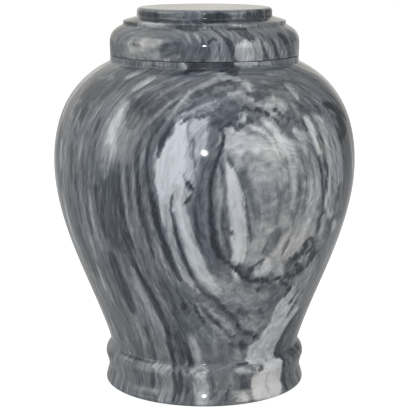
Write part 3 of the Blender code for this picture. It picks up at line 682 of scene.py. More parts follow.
LID_WARMTH_AND_REFLECTIONS = (
    # painted warm tint of the left and the right window's reflections on the ovolo
    vein(0.9, 18, (-44, 8), (-32, 9), blur=14),
    vein(0.9, 14, (24, 6), (30, 8), blur=8),
    vein(0.1, 12, (0, 8), (9, 6), blur=8),
)


def rising(fall, length):
    """A pull of a given length that goes up and leans towards the axis by an angle."""
    return Vector((-math.sin(fall), math.cos(fall))) * length


def curve(start, start_pull, end_pull, end, spacing):
    """Points on a cubic curve, both ends included, about a given distance apart."""
    steps = max(3, round((end - start).length / spacing))
    t = np.linspace(0.0, 1.0, steps + 1)[:, None]
    corners = [np.array(p) for p in (start, start + start_pull, end - end_pull, end)]
    shares = ((1 - t) ** 3, 3 * t * (1 - t) ** 2, 3 * t * t * (1 - t), t ** 3)
    return [Vector(point) for point in sum(share * corner for share, corner in zip(shares, corners))]


def line(start, end, spacing):
    """Points on a straight line, both ends included, about a given distance apart."""
    return curve(start, (end - start) / 3, (end - start) / 3, end, spacing)


def arc(centre, size, from_angle, to_angle, steps=6):
    """Points of an arc with both of its ends, where angle 0 points away from the axis."""
    angles = [from_angle + (to_angle - from_angle) * step / steps for step in range(steps + 1)]
    return [centre + Vector((math.cos(angle), math.sin(angle))) * size for angle in angles]


def trimmed(points, reach):
    """A line of points that is cut off a given distance before its end."""
    points = list(points)
    while len(points) > 2 and (points[-1] - points[-2]).length < reach:
        reach -= (points[-1] - points[-2]).length
        points.pop()
    last = points[-1] - points[-2]
    points[-1] = points[-1] - last * min(0.95, reach / last.length)
    return points


def joined(*stretches):
    """One outline from stretches of points; a number between two of them eases their corner by that reach."""
    outline = list(stretches[0])
    reach = 0.0
    for item in stretches[1:]:
        if isinstance(item, float):
            reach = item
            continue
        if reach:
            corner = outline[-1]
            before = trimmed(outline, reach)
            after = trimmed(item[::-1], reach)[::-1]
            eased = []
            for t in (0.0, 0.25, 0.5, 0.75, 1.0):
                eased.append(before[-1] * (1 - t) ** 2 + corner * 2 * t * (1 - t) + after[0] * t * t)
            outline = before[:-1] + eased + after[1:]
        else:
            outline += item[1:]
        reach = 0.0
    return outline


def body_side(spacing):
    """The body's side from the crease at the waist, over the belly, to the neck."""
    waist = Vector((WAIST_RADIUS, WAIST_HEIGHT))
    belly = Vector((BELLY_RADIUS, BELLY_HEIGHT))
    neck = Vector((NECK_RADIUS, NECK_HEIGHT))
    flank = BELLY_HEIGHT - WAIST_HEIGHT
    shoulder = NECK_HEIGHT - BELLY_HEIGHT
    waist_pull = rising(-WAIST_FLARE, flank * WAIST_FULLNESS)
    under_belly_pull = rising(0.0, flank * UNDER_BELLY_FULLNESS)
    over_belly_pull = rising(0.0, shoulder * OVER_BELLY_FULLNESS)
    neck_pull = rising(NECK_FALL, shoulder * SHOULDER_FULLNESS)
    under = curve(waist, waist_pull, under_belly_pull, belly, spacing)
    over = curve(belly, over_belly_pull, neck_pull, neck, spacing)
    return under + over[1:]


def cove_outline():
    """The foot's cove, with the slight wave that the polishing left in it."""
    cove = []
    for turn in np.linspace(0.0, 1.0, COVE_POINTS):
        height = FOOT_LIP_HEIGHT + COVE_HEIGHT * turn
        wave_turn = max(-0.5, min(0.5, (height - WAVE_HEIGHT) / WAVE_LENGTH))
        depth = COVE_DEPTH * math.sin(math.pi * turn) + POLISH_WAVE * math.sin(math.tau * wave_turn)
        cove.append(Vector((FOOT_RADIUS - depth, height)))
    return cove


def cavity_wall():
    """The cavity's wall, from the mouth down to where the floor's round begins."""
    wall = []
    outer = body_side(WALL_SPACING)
    for before, here, after in zip(outer, outer[1:], outer[2:]):
        along = (after - before).normalized()
        wall.append(here + Vector((-along.y, along.x)) * WALL)
    wall = [point for point in wall if FLOOR_THICKNESS + FLOOR_ROUND < point.y < RIM_HEIGHT - MOUTH_DEPTH]
    wall.reverse()
    return wall


def body_outline():
    """The body's whole section, from the centre of the underside round to the centre of the floor."""
    foot_edge = Vector((FOOT_RADIUS - FOOT_EDGE_WIDTH, 0.0))
    lip_top = Vector((FOOT_RADIUS, FOOT_LIP_HEIGHT))
    lip_pull = Vector((0.0, FOOT_LIP_HEIGHT / 2))
    underside = line(Vector((0.0, 0.0)), foot_edge, UNDERSIDE_SPACING)
    lip = curve(foot_edge, Vector((FOOT_EDGE_WIDTH / 2, 0.0)), lip_pull, lip_top, FINE_SPACING)
    cove = cove_outline()
    arris = cove[-1] + Vector((-BEAD_STEP_IN, BEAD_RISE))
    bead = line(cove[-1], arris, FINE_SPACING)
    slope = line(arris, Vector((WAIST_RADIUS, WAIST_HEIGHT)), FINE_SPACING * 2)
    side = body_side(SIDE_SPACING)
    neck = line(side[-1], Vector((NECK_RADIUS, RIM_HEIGHT)), FINE_SPACING)
    rim = line(neck[-1], Vector((MOUTH_RADIUS, RIM_HEIGHT)), RIM_SPACING)
    mouth = line(rim[-1], Vector((MOUTH_RADIUS, RIM_HEIGHT - MOUTH_DEPTH)), PLAIN_SPACING)
    wall = cavity_wall()
    floor_edge = Vector((wall[-1].x - FLOOR_ROUND, FLOOR_THICKNESS))
    round_pull = FLOOR_ROUND / 2
    floor_round = curve(
        wall[-1], Vector((0.0, -round_pull)), Vector((-round_pull, 0.0)), floor_edge, PLAIN_SPACING
    )
    floor = line(floor_edge, Vector((0.0, FLOOR_THICKNESS)), UNDERSIDE_SPACING)
    return joined(
        underside, lip, SOFT_EDGE, cove, SOFT_EDGE, bead, CRISP_EDGE, slope, SOFT_EDGE, side, SOFT_EDGE, neck,
        CRISP_EDGE, rim, CRISP_EDGE, mouth, [mouth[-1]] + wall, floor_round, floor,
    )


def lid_outline():
    """The lid's whole section, from the centre of the spigot's underside to the centre of the top."""
    seat = RIM_HEIGHT + SEAM_GAP
    spigot = MOUTH_RADIUS - SPIGOT_CLEARANCE
    spigot_foot = line(Vector((0.0, LID_LOW[2])), Vector((spigot, LID_LOW[2])), RIM_SPACING)
    spigot_side = line(spigot_foot[-1], Vector((spigot, seat)), SPIGOT_SPACING)
    under = line(spigot_side[-1], Vector((NECK_RADIUS, seat)), RIM_SPACING)
    band_top = Vector((NECK_RADIUS + BAND_SWELL, seat + BAND_HEIGHT))
    band = curve(under[-1], BAND_PULL, Vector((0.0, BAND_HEIGHT / 3)), band_top, FINE_SPACING * 2)
    ring_foot = band_top + Vector((-OVOLO_STEP_IN, OVOLO_RISE))
    ovolo_pull = rising(0.0, OVOLO_RISE * OVOLO_FULLNESS)
    ring_pull = rising(OVOLO_FALL, OVOLO_STEP_IN / 2)
    ovolo = curve(band_top, ovolo_pull, ring_pull, ring_foot, FINE_SPACING)
    ring_centre = ring_foot + Vector((-RING_ROUND, RING_HEIGHT))
    ring = [ring_foot] + arc(ring_centre, RING_ROUND, 0.0, math.pi / 2)
    shelf_top = ring[-1] + Vector((-SHELF_WIDTH, SHELF_RISE))
    shelf = line(ring[-1], shelf_top, FINE_SPACING * 2)
    disc_foot = shelf_top + Vector((-DISC_FILLET, DISC_FILLET))
    fillet_pull = DISC_FILLET / 2
    fillet = curve(
        shelf_top, Vector((-fillet_pull, 0.0)), Vector((0.0, fillet_pull)), disc_foot, FINE_SPACING
    )
    disc_edge = LID_HIGH[2] - DISC_ROUND
    disc_side = line(disc_foot, Vector((disc_foot.x, disc_edge)), FINE_SPACING)
    disc = arc(Vector((disc_foot.x - DISC_ROUND, disc_edge)), DISC_ROUND, 0.0, math.pi / 2, DISC_ROUND_STEPS)
    top = line(disc[-1], Vector((0.0, LID_HIGH[2])), PLAIN_SPACING)
    return joined(
        spigot_foot, CRISP_EDGE, spigot_side, under, CRISP_EDGE, band, ovolo, RING_FOOT_EDGE, ring, SOFT_EDGE,
        shelf, fillet, disc_side, disc, top,
    )


def column_angles(columns):
    """Angles around the axis, from the front at 0, closer together on the front half."""
    fine = np.linspace(-180.0, 180.0, 3601)
    back = 1.0 / (1.0 + np.exp(-(np.abs(fine) - BACK_START) / BACK_BLEND))
    density = 1.0 / (1.0 + (BACK_COARSENESS - 1.0) * back)
    total = np.concatenate(([0.0], np.cumsum((density[1:] + density[:-1]) / 2)))
    wanted = np.linspace(0.0, total[-1], columns + 1)[:-1]
    return np.radians(np.interp(wanted, total, fine))


def turned_mesh(name, outline, columns):
    """A closed turned surface. The first and last point of the outline lie on the axis."""
    angles = column_angles(columns)
    ring = np.array([(point.x, point.y) for point in outline[1:-1]])
    rows = len(ring)
    points = np.empty((rows, columns, 3))
    points[:, :, 0] = ring[:, :1] * np.sin(angles)
    points[:, :, 1] = -ring[:, :1] * np.cos(angles)
    points[:, :, 2] = ring[:, 1:]
    ends = np.array([(0.0, 0.0, outline[0].y), (0.0, 0.0, outline[-1].y)])
    vertices = np.concatenate((points.reshape(-1, 3), ends))
    row, column = np.meshgrid(np.arange(rows - 1), np.arange(columns), indexing="ij")
    following = (column + 1) % columns
    low, high = row * columns, (row + 1) * columns
    quads = np.stack((low + column, low + following, high + following, high + column), -1).reshape(-1, 4)
    one = np.arange(columns)
    two = (one + 1) % columns
    first, last, top = rows * columns, rows * columns + 1, (rows - 1) * columns
    fan_low = np.stack((np.full(columns, first), two, one), -1)
    fan_high = np.stack((np.full(columns, last), top + one, top + two), -1)
    mesh = bpy.data.meshes.new(name)
    mesh.from_pydata(vertices.tolist(), [], quads.tolist() + fan_low.tolist() + fan_high.tolist())
    mesh.shade_smooth()
    mesh.validate()
    piece = bpy.data.objects.new(name, mesh)
    bpy.context.collection.objects.link(piece)
    return piece


def surface_map(outline, columns, start):
    """Azimuth in degrees, climb and radius in millimetres for each point of a turned mesh.

    The climb is the distance along the outline from the place nearest to start.
    """
    climbs = [0.0]
    for before, after in zip(outline, outline[1:]):
        climbs.append(climbs[-1] + (after - before).length / MM)
    nearest = min(range(len(outline)), key=lambda index: (outline[index] - start).length)
    climbs = np.array(climbs) - climbs[nearest]
    radii = np.array([point.x for point in outline]) / MM
    azimuth, climb = np.meshgrid(np.degrees(column_angles(columns)), climbs[1:-1])
    radius = np.broadcast_to(radii[1:-1, None], climb.shape)
    ends = np.zeros(2)
    return (
        np.concatenate((azimuth.ravel(), ends)),
        np.concatenate((climb.ravel(), climbs[[0, -1]])),
        np.concatenate((radius.ravel(), ends)),
    )


# Edges of the painted veins: sizes in millimetres, shares and seeds of their random shapes
TEAR_SIZE = 2.6
TEAR_SEED = 5
SMALL_TEAR_WIDTH = 1.3
SMALL_TEAR_HEIGHT = 1.5
SMALL_TEAR_SHARE = 0.6
SMALL_TEAR_SEED = 6
STRAND_WIDTH = 1.1
STRAND_LENGTH = 13.0
STRAND_REACH = 0.8
STRAND_CONTRAST = 0.05
STRAND_SHIFT_X = 3.7
STRAND_SHIFT_Y = 5.3
STRAND_SEED = 7
SLENDER_START = 1.5
SLENDER_SPAN = 3.0
NARROW_WIDTH = 4.0
NARROW_THINNING = 0.8
WIDE_THINNING = 0.3
THINNING_START = 3.5
SPARE_REACH = 1.5
PLAIN_MIDDLE_RADIUS = 30.0
FAR_AWAY = 1000.0


def plane_noise(x, y, seed):
    """Smooth random values from -1 to 1 over a plane, with about one feature in each unit."""
    size = 64
    grid = np.random.default_rng(seed).uniform(-1.0, 1.0, (size, size))
    column, row = np.floor(x).astype(int), np.floor(y).astype(int)
    u, v = x - column, y - row
    u, v = u * u * (3.0 - 2.0 * u), v * v * (3.0 - 2.0 * v)
    low = grid[row % size, column % size] * (1 - u) + grid[row % size, (column + 1) % size] * u
    high = grid[(row + 1) % size, column % size] * (1 - u) + grid[(row + 1) % size, (column + 1) % size] * u
    return low * (1 - v) + high * v


def smoothed(path):
    """A path of corners as a finer curve through the same corners."""
    corners = [np.array(corner, dtype=float) for corner in path]
    corners = [2 * corners[0] - corners[1], *corners, 2 * corners[-1] - corners[-2]]
    fine = []
    for before, start, end, after in zip(corners, corners[1:], corners[2:], corners[3:]):
        for t in (0.0, 0.25, 0.5, 0.75):
            bend = before - 2.5 * start + 2 * end - 0.5 * after
            turn = 1.5 * start - 0.5 * before - 1.5 * end + 0.5 * after
            fine.append(start + t * (end - before) / 2 + t * t * bend + t ** 3 * turn)
    fine.append(corners[-2])
    return fine


def along_path(corners, azimuth, climb, radius):
    """Distance from a path, place along it and side of it for each point, and the path's length, in mm."""
    per_degree = np.radians(radius)
    gap = np.full(len(radius), FAR_AWAY)
    place = np.zeros(len(radius))
    side = np.ones(len(radius))
    length = 0.0
    for start, end in zip(corners, corners[1:]):
        run_x, run_y = (end[0] - start[0]) * per_degree, end[1] - start[1]
        off_x, off_y = (azimuth - start[0]) * per_degree, climb - start[1]
        along = np.clip((off_x * run_x + off_y * run_y) / (run_x ** 2 + run_y ** 2 + 0.0001), 0.0, 1.0)
        distance = np.hypot(off_x - along * run_x, off_y - along * run_y)
        step = math.hypot((end[0] - start[0]) * per_degree.mean(), run_y)
        closer = distance < gap
        gap[closer] = distance[closer]
        place[closer] = length + along[closer] * step
        side[closer] = np.sign(off_x * run_y - off_y * run_x)[closer]
        length += step
    return gap, place, side, length


def paint(values, surface, veins):
    """Lay veins over the values of a piece's points, one after another.

    Long veins thin out at both ends, and their edges feather into strands that run along them.
    """
    azimuth, climb, radius = surface
    across = radius * np.radians(azimuth)
    tears = plane_noise(across / TEAR_SIZE, climb / TEAR_SIZE, TEAR_SEED)
    small_tears = plane_noise(across / SMALL_TEAR_WIDTH, climb / SMALL_TEAR_HEIGHT, SMALL_TEAR_SEED)
    tears += SMALL_TEAR_SHARE * small_tears
    for number, (value, width, blur, ragged, path) in enumerate(veins):
        corners = smoothed(path)
        reach = width / 2 + blur + 2 * ragged + SPARE_REACH
        low, high = np.min(corners, axis=0) - reach, np.max(corners, axis=0) + reach
        inside = (azimuth > low[0]) & (azimuth < high[0]) & (climb > low[1]) & (climb < high[1])
        near = np.flatnonzero(inside & (radius > PLAIN_MIDDLE_RADIUS))
        gap, place, side, length = along_path(corners, azimuth[near], climb[near], radius[near])
        strand_x = gap * side / STRAND_WIDTH + STRAND_SHIFT_X * number
        strand_y = place / STRAND_LENGTH + STRAND_SHIFT_Y * number
        strands = plane_noise(strand_x, strand_y, STRAND_SEED)
        slenderness = min(1.0, max(0.0, (length / width - SLENDER_START) / SLENDER_SPAN))
        thinning = (NARROW_THINNING if width < NARROW_WIDTH else WIDE_THINNING) * slenderness
        end_share = np.clip(1.0 - THINNING_START * np.minimum(place, length - place) / length, 0.0, 1.0)
        half_width = width / 2 * (1.0 - thinning * end_share)
        edge = half_width - gap + ragged * tears[near] + STRAND_REACH * strands
        cover = np.clip(0.5 + edge / blur, 0.0, 1.0)
        cover = cover * cover * (3.0 - 2.0 * cover)
        values[near] += (value + STRAND_CONTRAST * strands - values[near]) * cover


def add_attribute(piece, name, values):
    """A value on each point of a piece, which its material reads by name."""
    attribute = piece.data.attributes.new(name, "FLOAT", "POINT")
    attribute.data.foreach_set("value", np.ascontiguousarray(values, dtype=np.float32))


class Nodes:
    """Short forms for building a shader's node tree."""

    def __init__(self, tree):
        self.tree = tree

    def new(self, kind, **settings):
        node = self.tree.nodes.new(kind)
        for key, value in settings.items():
            setattr(node, key, value)
        return node

    def put(self, socket, value):
        if isinstance(value, bpy.types.NodeSocket):
            self.tree.links.new(value, socket)
        else:
            socket.default_value = value

    def math(self, operation, first, second=0.0, third=0.0, clamp=False):
        node = self.new("ShaderNodeMath", operation=operation, use_clamp=clamp)
        for socket, value in zip(node.inputs, (first, second, third)):
            self.put(socket, value)
        return node.outputs[0]

    def swung(self, base, pattern, share):
        """A base value plus a share of a pattern that swings around a half."""
        return self.math("MULTIPLY_ADD", self.math("SUBTRACT", pattern, 0.5), share, base)

    def vector(self, operation, first, second):
        node = self.new("ShaderNodeVectorMath", operation=operation)
        self.put(node.inputs[0], first)
        self.put(node.inputs[1], second)
        return node.outputs["Value" if operation == "DOT_PRODUCT" else "Vector"]

    def mix(self, share, first, second):
        node = self.new("ShaderNodeMixRGB")
        for socket, value in zip(node.inputs, (share, first, second)):
            self.put(socket, value)
        return node.outputs["Color"]

    def noise(self, place, scale, detail=2.0, roughness=0.5, distortion=0.0, colour=False):
        node = self.new("ShaderNodeTexNoise")
        self.put(node.inputs["Vector"], place)
        node.inputs["Scale"].default_value = scale
        node.inputs["Detail"].default_value = detail
        node.inputs["Roughness"].default_value = roughness
        node.inputs["Distortion"].default_value = distortion
        return node.outputs["Color" if colour else "Fac"]

    def mapping(self, place, location=(0, 0, 0), rotation=(0, 0, 0), scale=(1, 1, 1)):
        node = self.new("ShaderNodeMapping")
        self.put(node.inputs["Vector"], place)
        node.inputs["Location"].default_value = location
        node.inputs["Rotation"].default_value = rotation
        node.inputs["Scale"].default_value = scale
        return node.outputs["Vector"]

    def attribute(self, name):
        return self.new("ShaderNodeAttribute", attribute_name=name).outputs["Fac"]

    def ramp(self, factor, stops):
        node = self.new("ShaderNodeValToRGB")
        self.put(node.inputs["Fac"], factor)
        elements = node.color_ramp.elements
        while len(elements) < len(stops):
            elements.new(1.0)
        for element, (position, colour) in zip(elements, stops):
            element.position = position
            element.color = (*colour, 1.0)
        return node.outputs["Color"]

    def range(self, value, low, high, new_low=0.0, new_high=1.0, smooth=False):
        node = self.new("ShaderNodeMapRange", interpolation_type="SMOOTHSTEP" if smooth else "LINEAR")
        for socket, item in zip(node.inputs, (value, low, high, new_low, new_high)):
            self.put(socket, item)
        return node.outputs[0]


# Tones of the stone from charcoal veins to white, as linear colours
TONES = (
    (0.00, (0.025, 0.030, 0.041)),
    (0.25, (0.082, 0.094, 0.113)),
    (0.50, (0.183, 0.200, 0.222)),
    (0.75, (0.382, 0.400, 0.425)),
    (1.00, (0.668, 0.688, 0.720)),
)

# Shifts of the stone's hue
COOL_TINT = (0.968, 1.0, 1.045, 1.0)
WARM_TINT = (1.028, 1.0, 0.952, 1.0)
HUE_DRIFT_SCALE = 0.020
HUE_DRIFT_FROM, HUE_DRIFT_TO = 0.38, 0.62
HUE_DRIFT = 0.3

# Patterns of the stone: features in each millimetre, across the layers and along them both ways,
# then the noise's detail, roughness and distortion
BANDS = ((0.13, 0.016, 0.016), 3.0, 0.55, 0.0)
STREAKS = ((0.42, 0.036, 0.036), 3.0, 0.6, 0.2)
FINE_STREAKS = ((1.3, 0.12, 0.12), 2.0, 0.6, 0.0)
CLOUDS = ((0.26, 0.16, 0.16), 5.0, 0.62, 0.6)
GRAIN_SCALE = 1.1

# How far slow drifts and waves move the pattern, in millimetres
DRIFT_SCALE = 0.022
DRIFT_REACH = (8.0, 24.0, 24.0)
WAVE_SCALE = 0.11
WAVE_REACH = (2.4, 3.0, 3.0)
NOISE_MIDDLE = (0.5, 0.5, 0.5)
PER_METRE = (1000.0, 1000.0, 1000.0)

# How strongly each pattern moves the tone
BAND_SHARE = 2.0
WHITE_START, WHITE_END = 0.70, 0.96
CALM_OF_WHITE = 0.45
DRAWN_BASE, DRAWN_GAIN = 0.25, 0.60
STREAK_BASE, STREAK_GAIN = 0.8, 0.9
FINE_SHARE = 0.68
CLOUD_BASE, CLOUD_GAIN = 0.11, 0.78
GRAIN_SHARE = 0.12
POLISHED_ROUGHNESS = 0.09


def stone_place(n, azimuth, dip, shift):
    """A place in the stone in millimetres, turned so that X runs across its layers."""
    place = n.new("ShaderNodeTexCoord").outputs["Object"]
    turned = n.mapping(place, rotation=(0.0, 0.0, -math.radians(azimuth - 90.0)))
    return n.mapping(turned, rotation=(0.0, -math.radians(dip), 0.0), scale=PER_METRE, location=shift)


def warped_place(n, layered):
    """The same place, moved by slow drifts and by waves."""
    drift = n.vector("SUBTRACT", n.noise(layered, DRIFT_SCALE, 2.0, 0.5, colour=True), NOISE_MIDDLE)
    waves = n.vector("SUBTRACT", n.noise(layered, WAVE_SCALE, 3.0, 0.55, colour=True), NOISE_MIDDLE)
    warped = n.vector("ADD", layered, n.vector("MULTIPLY", drift, DRIFT_REACH))
    return n.vector("ADD", warped, n.vector("MULTIPLY", waves, WAVE_REACH))


def pattern(n, place, scales, detail, roughness, distortion):
    """One pattern of the stone, drawn out along its layers, which swings around a half."""
    return n.noise(n.mapping(place, scale=scales), 1.0, detail, roughness, distortion)


def marble(name, azimuth, dip, shift):
    """Polished veined marble with its veins in flat layers.

    The layers face an azimuth and dip by an angle in degrees. The shift picks another place in the stone.
    It reads four values of the surface's points: tone is the painted pattern, with some painted reflections
    and highlights in it, warmth the hue, partly the painted warm tint of reflections, wild how strong the
    stone's own bands are, and torn how cloudy the stone is instead of drawn out in streaks.
    """
    material = bpy.data.materials.new(name)
    material.use_nodes = True
    n = Nodes(material.node_tree)
    shader = material.node_tree.nodes["Principled BSDF"]
    layered = stone_place(n, azimuth, dip, shift)
    warped = warped_place(n, layered)
    bands = pattern(n, warped, *BANDS)
    streaks = pattern(n, warped, *STREAKS)
    fine = pattern(n, warped, *FINE_STREAKS)
    clouds = pattern(n, warped, *CLOUDS)
    grain = n.noise(layered, GRAIN_SCALE, 2.0, 0.7)
    painted, wild, torn = n.attribute("tone"), n.attribute("wild"), n.attribute("torn")
    calm = n.range(painted, WHITE_START, WHITE_END, 1.0, CALM_OF_WHITE)
    drawn = n.math("MULTIPLY_ADD", n.math("SUBTRACT", 1.0, torn), DRAWN_GAIN, DRAWN_BASE)
    drawn = n.math("MULTIPLY", drawn, calm)
    streak_share = n.math("MULTIPLY", drawn, n.math("MULTIPLY_ADD", wild, STREAK_GAIN, STREAK_BASE))
    tone = n.swung(painted, bands, n.math("MULTIPLY", wild, BAND_SHARE))
    tone = n.swung(tone, streaks, streak_share)
    tone = n.swung(tone, fine, n.math("MULTIPLY", drawn, FINE_SHARE))
    tone = n.swung(tone, clouds, n.math("MULTIPLY_ADD", torn, CLOUD_GAIN, CLOUD_BASE))
    tone = n.swung(tone, grain, GRAIN_SHARE)
    drift_of_hue = n.noise(layered, HUE_DRIFT_SCALE, 1.0, 0.5)
    drift_of_hue = n.range(drift_of_hue, HUE_DRIFT_FROM, HUE_DRIFT_TO, -HUE_DRIFT, HUE_DRIFT)
    warm_share = n.math("ADD", drift_of_hue, n.attribute("warmth"), clamp=True)
    tint = n.mix(warm_share, COOL_TINT, WARM_TINT)
    n.put(shader.inputs["Base Color"], n.vector("MULTIPLY", n.ramp(tone, TONES), tint))
    shader.inputs["Roughness"].default_value = POLISHED_ROUGHNESS
    return material


def direction(azimuth, elevation):
    """The direction of an azimuth (0 is the front, 90 the right) and an elevation, both in degrees."""
    a, e = math.radians(azimuth), math.radians(elevation)
    return Vector((math.sin(a) * math.cos(e), -math.cos(a) * math.cos(e), math.sin(e)))


# One small round lamp in front of the belly
LAMP_AIM_HEIGHT = 180.0 * MM
LAMP_ELEVATION = 13.6
LAMP_DISTANCE = 5.0
LAMP_POWER = 160.0
LAMP_RADIUS = 66.0 * MM


def lamp():
    data = bpy.data.lights.new("small_lamp", "POINT")
    data.energy = LAMP_POWER
    data.shadow_soft_size = LAMP_RADIUS
    item = bpy.data.objects.new("small_lamp", data)
    belly_front = Vector((0.0, -BELLY_RADIUS, LAMP_AIM_HEIGHT))
    item.location = belly_front + direction(0.0, LAMP_ELEVATION) * LAMP_DISTANCE
    bpy.context.collection.objects.link(item)


# Soft tall windows of the room: azimuth, half width, lower and upper edge in degrees, and brightness
WINDOWS = (
    (-71.0, 23.0, 2.0, 42.0, 2.15),
    (52.0, 19.0, 2.0, 24.0, 2.7),
)
WINDOW_COLOUR = (1.0, 0.93, 0.84)
WINDOW_EDGE = 0.10

# Brightness of the room. In a direction, X points right, Y behind the urn and Z up.
ROOM_BRIGHTNESS = 0.50
CEILING_BRIGHTNESS = 0.95
CEILING_START = 0.3
BACKDROP_BRIGHTNESS = 0.74
BACKDROP_START, BACKDROP_END = 0.82, 0.97
LEFT_GAIN, RIGHT_GAIN = 0.19, -0.30
SIDE_REACH = 0.6
SIDE_START, SIDE_FULL = -0.1, 0.5
SIDE_FADE = 0.84
TINT_REACH = 0.5
FRONT_TINT = (0.97, 1.0, 1.04, 1.0)
BACK_TINT = (1.04, 1.0, 0.93, 1.0)
WHITE = (1.0, 1.0, 1.0, 1.0)


def walls(n, right, behind, up):
    """The room's colour without its windows."""
    level = n.range(up, CEILING_START, 1.0, ROOM_BRIGHTNESS, CEILING_BRIGHTNESS, smooth=True)
    backdrop_gain = BACKDROP_BRIGHTNESS - ROOM_BRIGHTNESS
    backdrop = n.range(behind, BACKDROP_START, BACKDROP_END, 0.0, backdrop_gain, smooth=True)
    aside = n.range(right, -SIDE_REACH, SIDE_REACH, LEFT_GAIN, RIGHT_GAIN, smooth=True)
    aside = n.math("MULTIPLY", aside, n.range(behind, SIDE_START, SIDE_FULL, smooth=True))
    aside = n.math("MULTIPLY", aside, n.range(behind, BACKDROP_END, SIDE_FADE, smooth=True))
    tint = n.mix(n.range(behind, -TINT_REACH, TINT_REACH, smooth=True), FRONT_TINT, BACK_TINT)
    return n.vector("MULTIPLY", tint, n.math("ADD", n.math("ADD", level, backdrop), aside))


def window(n, ray, up, azimuth, half_width, lower, upper, strength):
    """The glow of one window, soft at all of its edges."""
    level = n.math("SQRT", n.math("SUBTRACT", 1.0001, n.math("MULTIPLY", up, up)))
    facing = n.math("DIVIDE", n.vector("DOT_PRODUCT", ray, direction(azimuth, 0.0)), level)
    glow = n.range(facing, math.cos(math.radians(half_width)), 1.0, 0.0, strength, smooth=True)
    low, high = math.sin(math.radians(lower)), math.sin(math.radians(upper))
    glow = n.math("MULTIPLY", glow, n.range(up, low - WINDOW_EDGE, low + WINDOW_EDGE, smooth=True))
    glow = n.math("MULTIPLY", glow, n.range(up, high + WINDOW_EDGE, high - WINDOW_EDGE, smooth=True))
    return n.vector("MULTIPLY", WINDOW_COLOUR, glow)


def room():
    """A dim room with a bright ceiling, a bright backdrop and two soft warm windows, white to the camera."""
    world = bpy.data.worlds.new("studio")
    world.use_nodes = True
    n = Nodes(world.node_tree)
    back = world.node_tree.nodes["Background"]
    ray = n.new("ShaderNodeTexCoord").outputs["Generated"]
    parts = n.new("ShaderNodeSeparateXYZ")
    n.put(parts.inputs[0], ray)
    right, behind, up = parts.outputs
    colour = walls(n, right, behind, up)
    for settings in WINDOWS:
        colour = n.vector("ADD", colour, window(n, ray, up, *settings))
    seen = n.new("ShaderNodeLightPath").outputs["Is Camera Ray"]
    n.put(back.inputs["Color"], n.mix(seen, colour, WHITE))
    back.inputs["Strength"].default_value = 1.0
    bpy.context.scene.world = world


# A pale floor that glows a little and looks nearly white to the camera
FLOOR_REACH = 30.0
FLOOR_COLOUR = (0.3, 0.3, 0.3, 1.0)
FLOOR_GLOW = 0.22
FLOOR_LOOK = 0.90
FLOOR_ROUGHNESS = 0.9


def pale_floor():
    material = bpy.data.materials.new("pale_floor")
    material.use_nodes = True
    n = Nodes(material.node_tree)
    shader = material.node_tree.nodes["Principled BSDF"]
    shader.inputs["Base Color"].default_value = FLOOR_COLOUR
    shader.inputs["Emission Color"].default_value = WHITE
    seen = n.new("ShaderNodeLightPath").outputs["Is Camera Ray"]
    n.put(shader.inputs["Emission Strength"], n.range(seen, 0.0, 1.0, FLOOR_GLOW, FLOOR_LOOK))
    shader.inputs["Roughness"].default_value = FLOOR_ROUGHNESS
    shader.inputs["Specular IOR Level"].default_value = 0.0
    return material


def studio():
    lamp()
    room()
    mesh = bpy.data.meshes.new("floor")
    near, far = -FLOOR_REACH, FLOOR_REACH
    mesh.from_pydata([(near, near, 0), (far, near, 0), (far, far, 0), (near, far, 0)], [], [(0, 1, 2, 3)])
    mesh.materials.append(pale_floor())
    floor = bpy.data.objects.new("floor", mesh)
    bpy.context.collection.objects.link(floor)
    bpy.context.scene.view_settings.view_transform = "Standard"


# Fitted to the outline and the rims' ellipses in the photo
LENS_MM = 124.7
SENSOR_MM = 36.0
CAMERA_PLACE = (0.0, -0.9936, 0.321)
CAMERA_LOOKS_DOWN = math.radians(11.06)
CAMERA_TURNS_LEFT = math.radians(0.18)
CAMERA_SEES_TO = 100.0


def camera():
    data = bpy.data.cameras.new("camera")
    data.lens = LENS_MM
    data.sensor_width = SENSOR_MM
    data.clip_end = CAMERA_SEES_TO
    item = bpy.data.objects.new("camera", data)
    item.location = CAMERA_PLACE
    item.rotation_euler = (math.pi / 2 - CAMERA_LOOKS_DOWN, 0.0, CAMERA_TURNS_LEFT)
    bpy.context.collection.objects.link(item)
    bpy.context.scene.camera = item


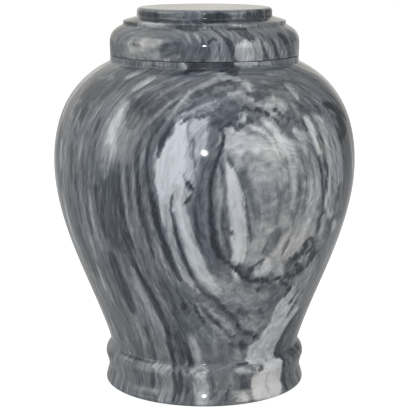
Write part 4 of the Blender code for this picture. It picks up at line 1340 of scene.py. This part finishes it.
# Where the painted front gives way to the stone's own pattern: azimuths in degrees
TONE_FADE = (74.0, 90.0)
TORN_FADE = (64.0, 82.0)
WILD_FADE = (60.0, 78.0)

# Values away from the veins
BODY_TONE = 0.42
LID_TONE = 0.44
CALM_TORN = 0.1
EVEN_WARMTH = 0.5
FRONT_CALM = 0.85


def front_share(azimuth, fade):
    """1 on the painted front, falling to 0 between two angles away from it."""
    from_angle, to_angle = fade
    share = np.clip((to_angle - np.abs(azimuth)) / (to_angle - from_angle), 0.0, 1.0)
    return share * share * (3.0 - 2.0 * share)


def painted_front(surface, base, areas, fade):
    """Values that are painted on the front and go back to their base at the sides."""
    values = np.full(len(surface[0]), base)
    paint(values, surface, areas)
    return base + (values - base) * front_share(surface[0], fade)


def dress(node, outline, columns, start, base_tone, veins, torn_areas, warm_areas, material):
    """The visible surface of one node, with its pattern painted on and its stone applied."""
    piece = turned_mesh(node + "_stone", outline, columns)
    surface = surface_map(outline, columns, start)
    torn = np.full(len(surface[0]), CALM_TORN)
    paint(torn, surface, torn_areas)
    add_attribute(piece, "tone", painted_front(surface, base_tone, veins, TONE_FADE))
    add_attribute(piece, "torn", torn * front_share(surface[0], TORN_FADE))
    add_attribute(piece, "warmth", painted_front(surface, EVEN_WARMTH, warm_areas, TORN_FADE))
    add_attribute(piece, "wild", 1.0 - FRONT_CALM * front_share(surface[0], WILD_FADE))
    piece.data.materials.append(material)
    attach(piece, "root")
    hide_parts(node)
    return piece


body = dress(
    "urn_body", body_outline(), BODY_COLUMNS, Vector((FOOT_RADIUS, CLIMB_START_HEIGHT)), BODY_TONE,
    BODY_VEINS_AND_SHEEN, BODY_TORN, BODY_WARMTH_AND_REFLECTION,
    marble("marble_body", azimuth=24.0, dip=5.0, shift=(0.0, 0.0, 0.0)),
)
lid = dress(
    "lid", lid_outline(), LID_COLUMNS, Vector((NECK_RADIUS, RIM_HEIGHT + SEAM_GAP)), LID_TONE,
    LID_VEINS_AND_SHEEN, (), LID_WARMTH_AND_REFLECTIONS,
    marble("marble_lid", azimuth=-35.0, dip=-8.0, shift=(300.0, 70.0, 40.0)),
)
studio()
camera()
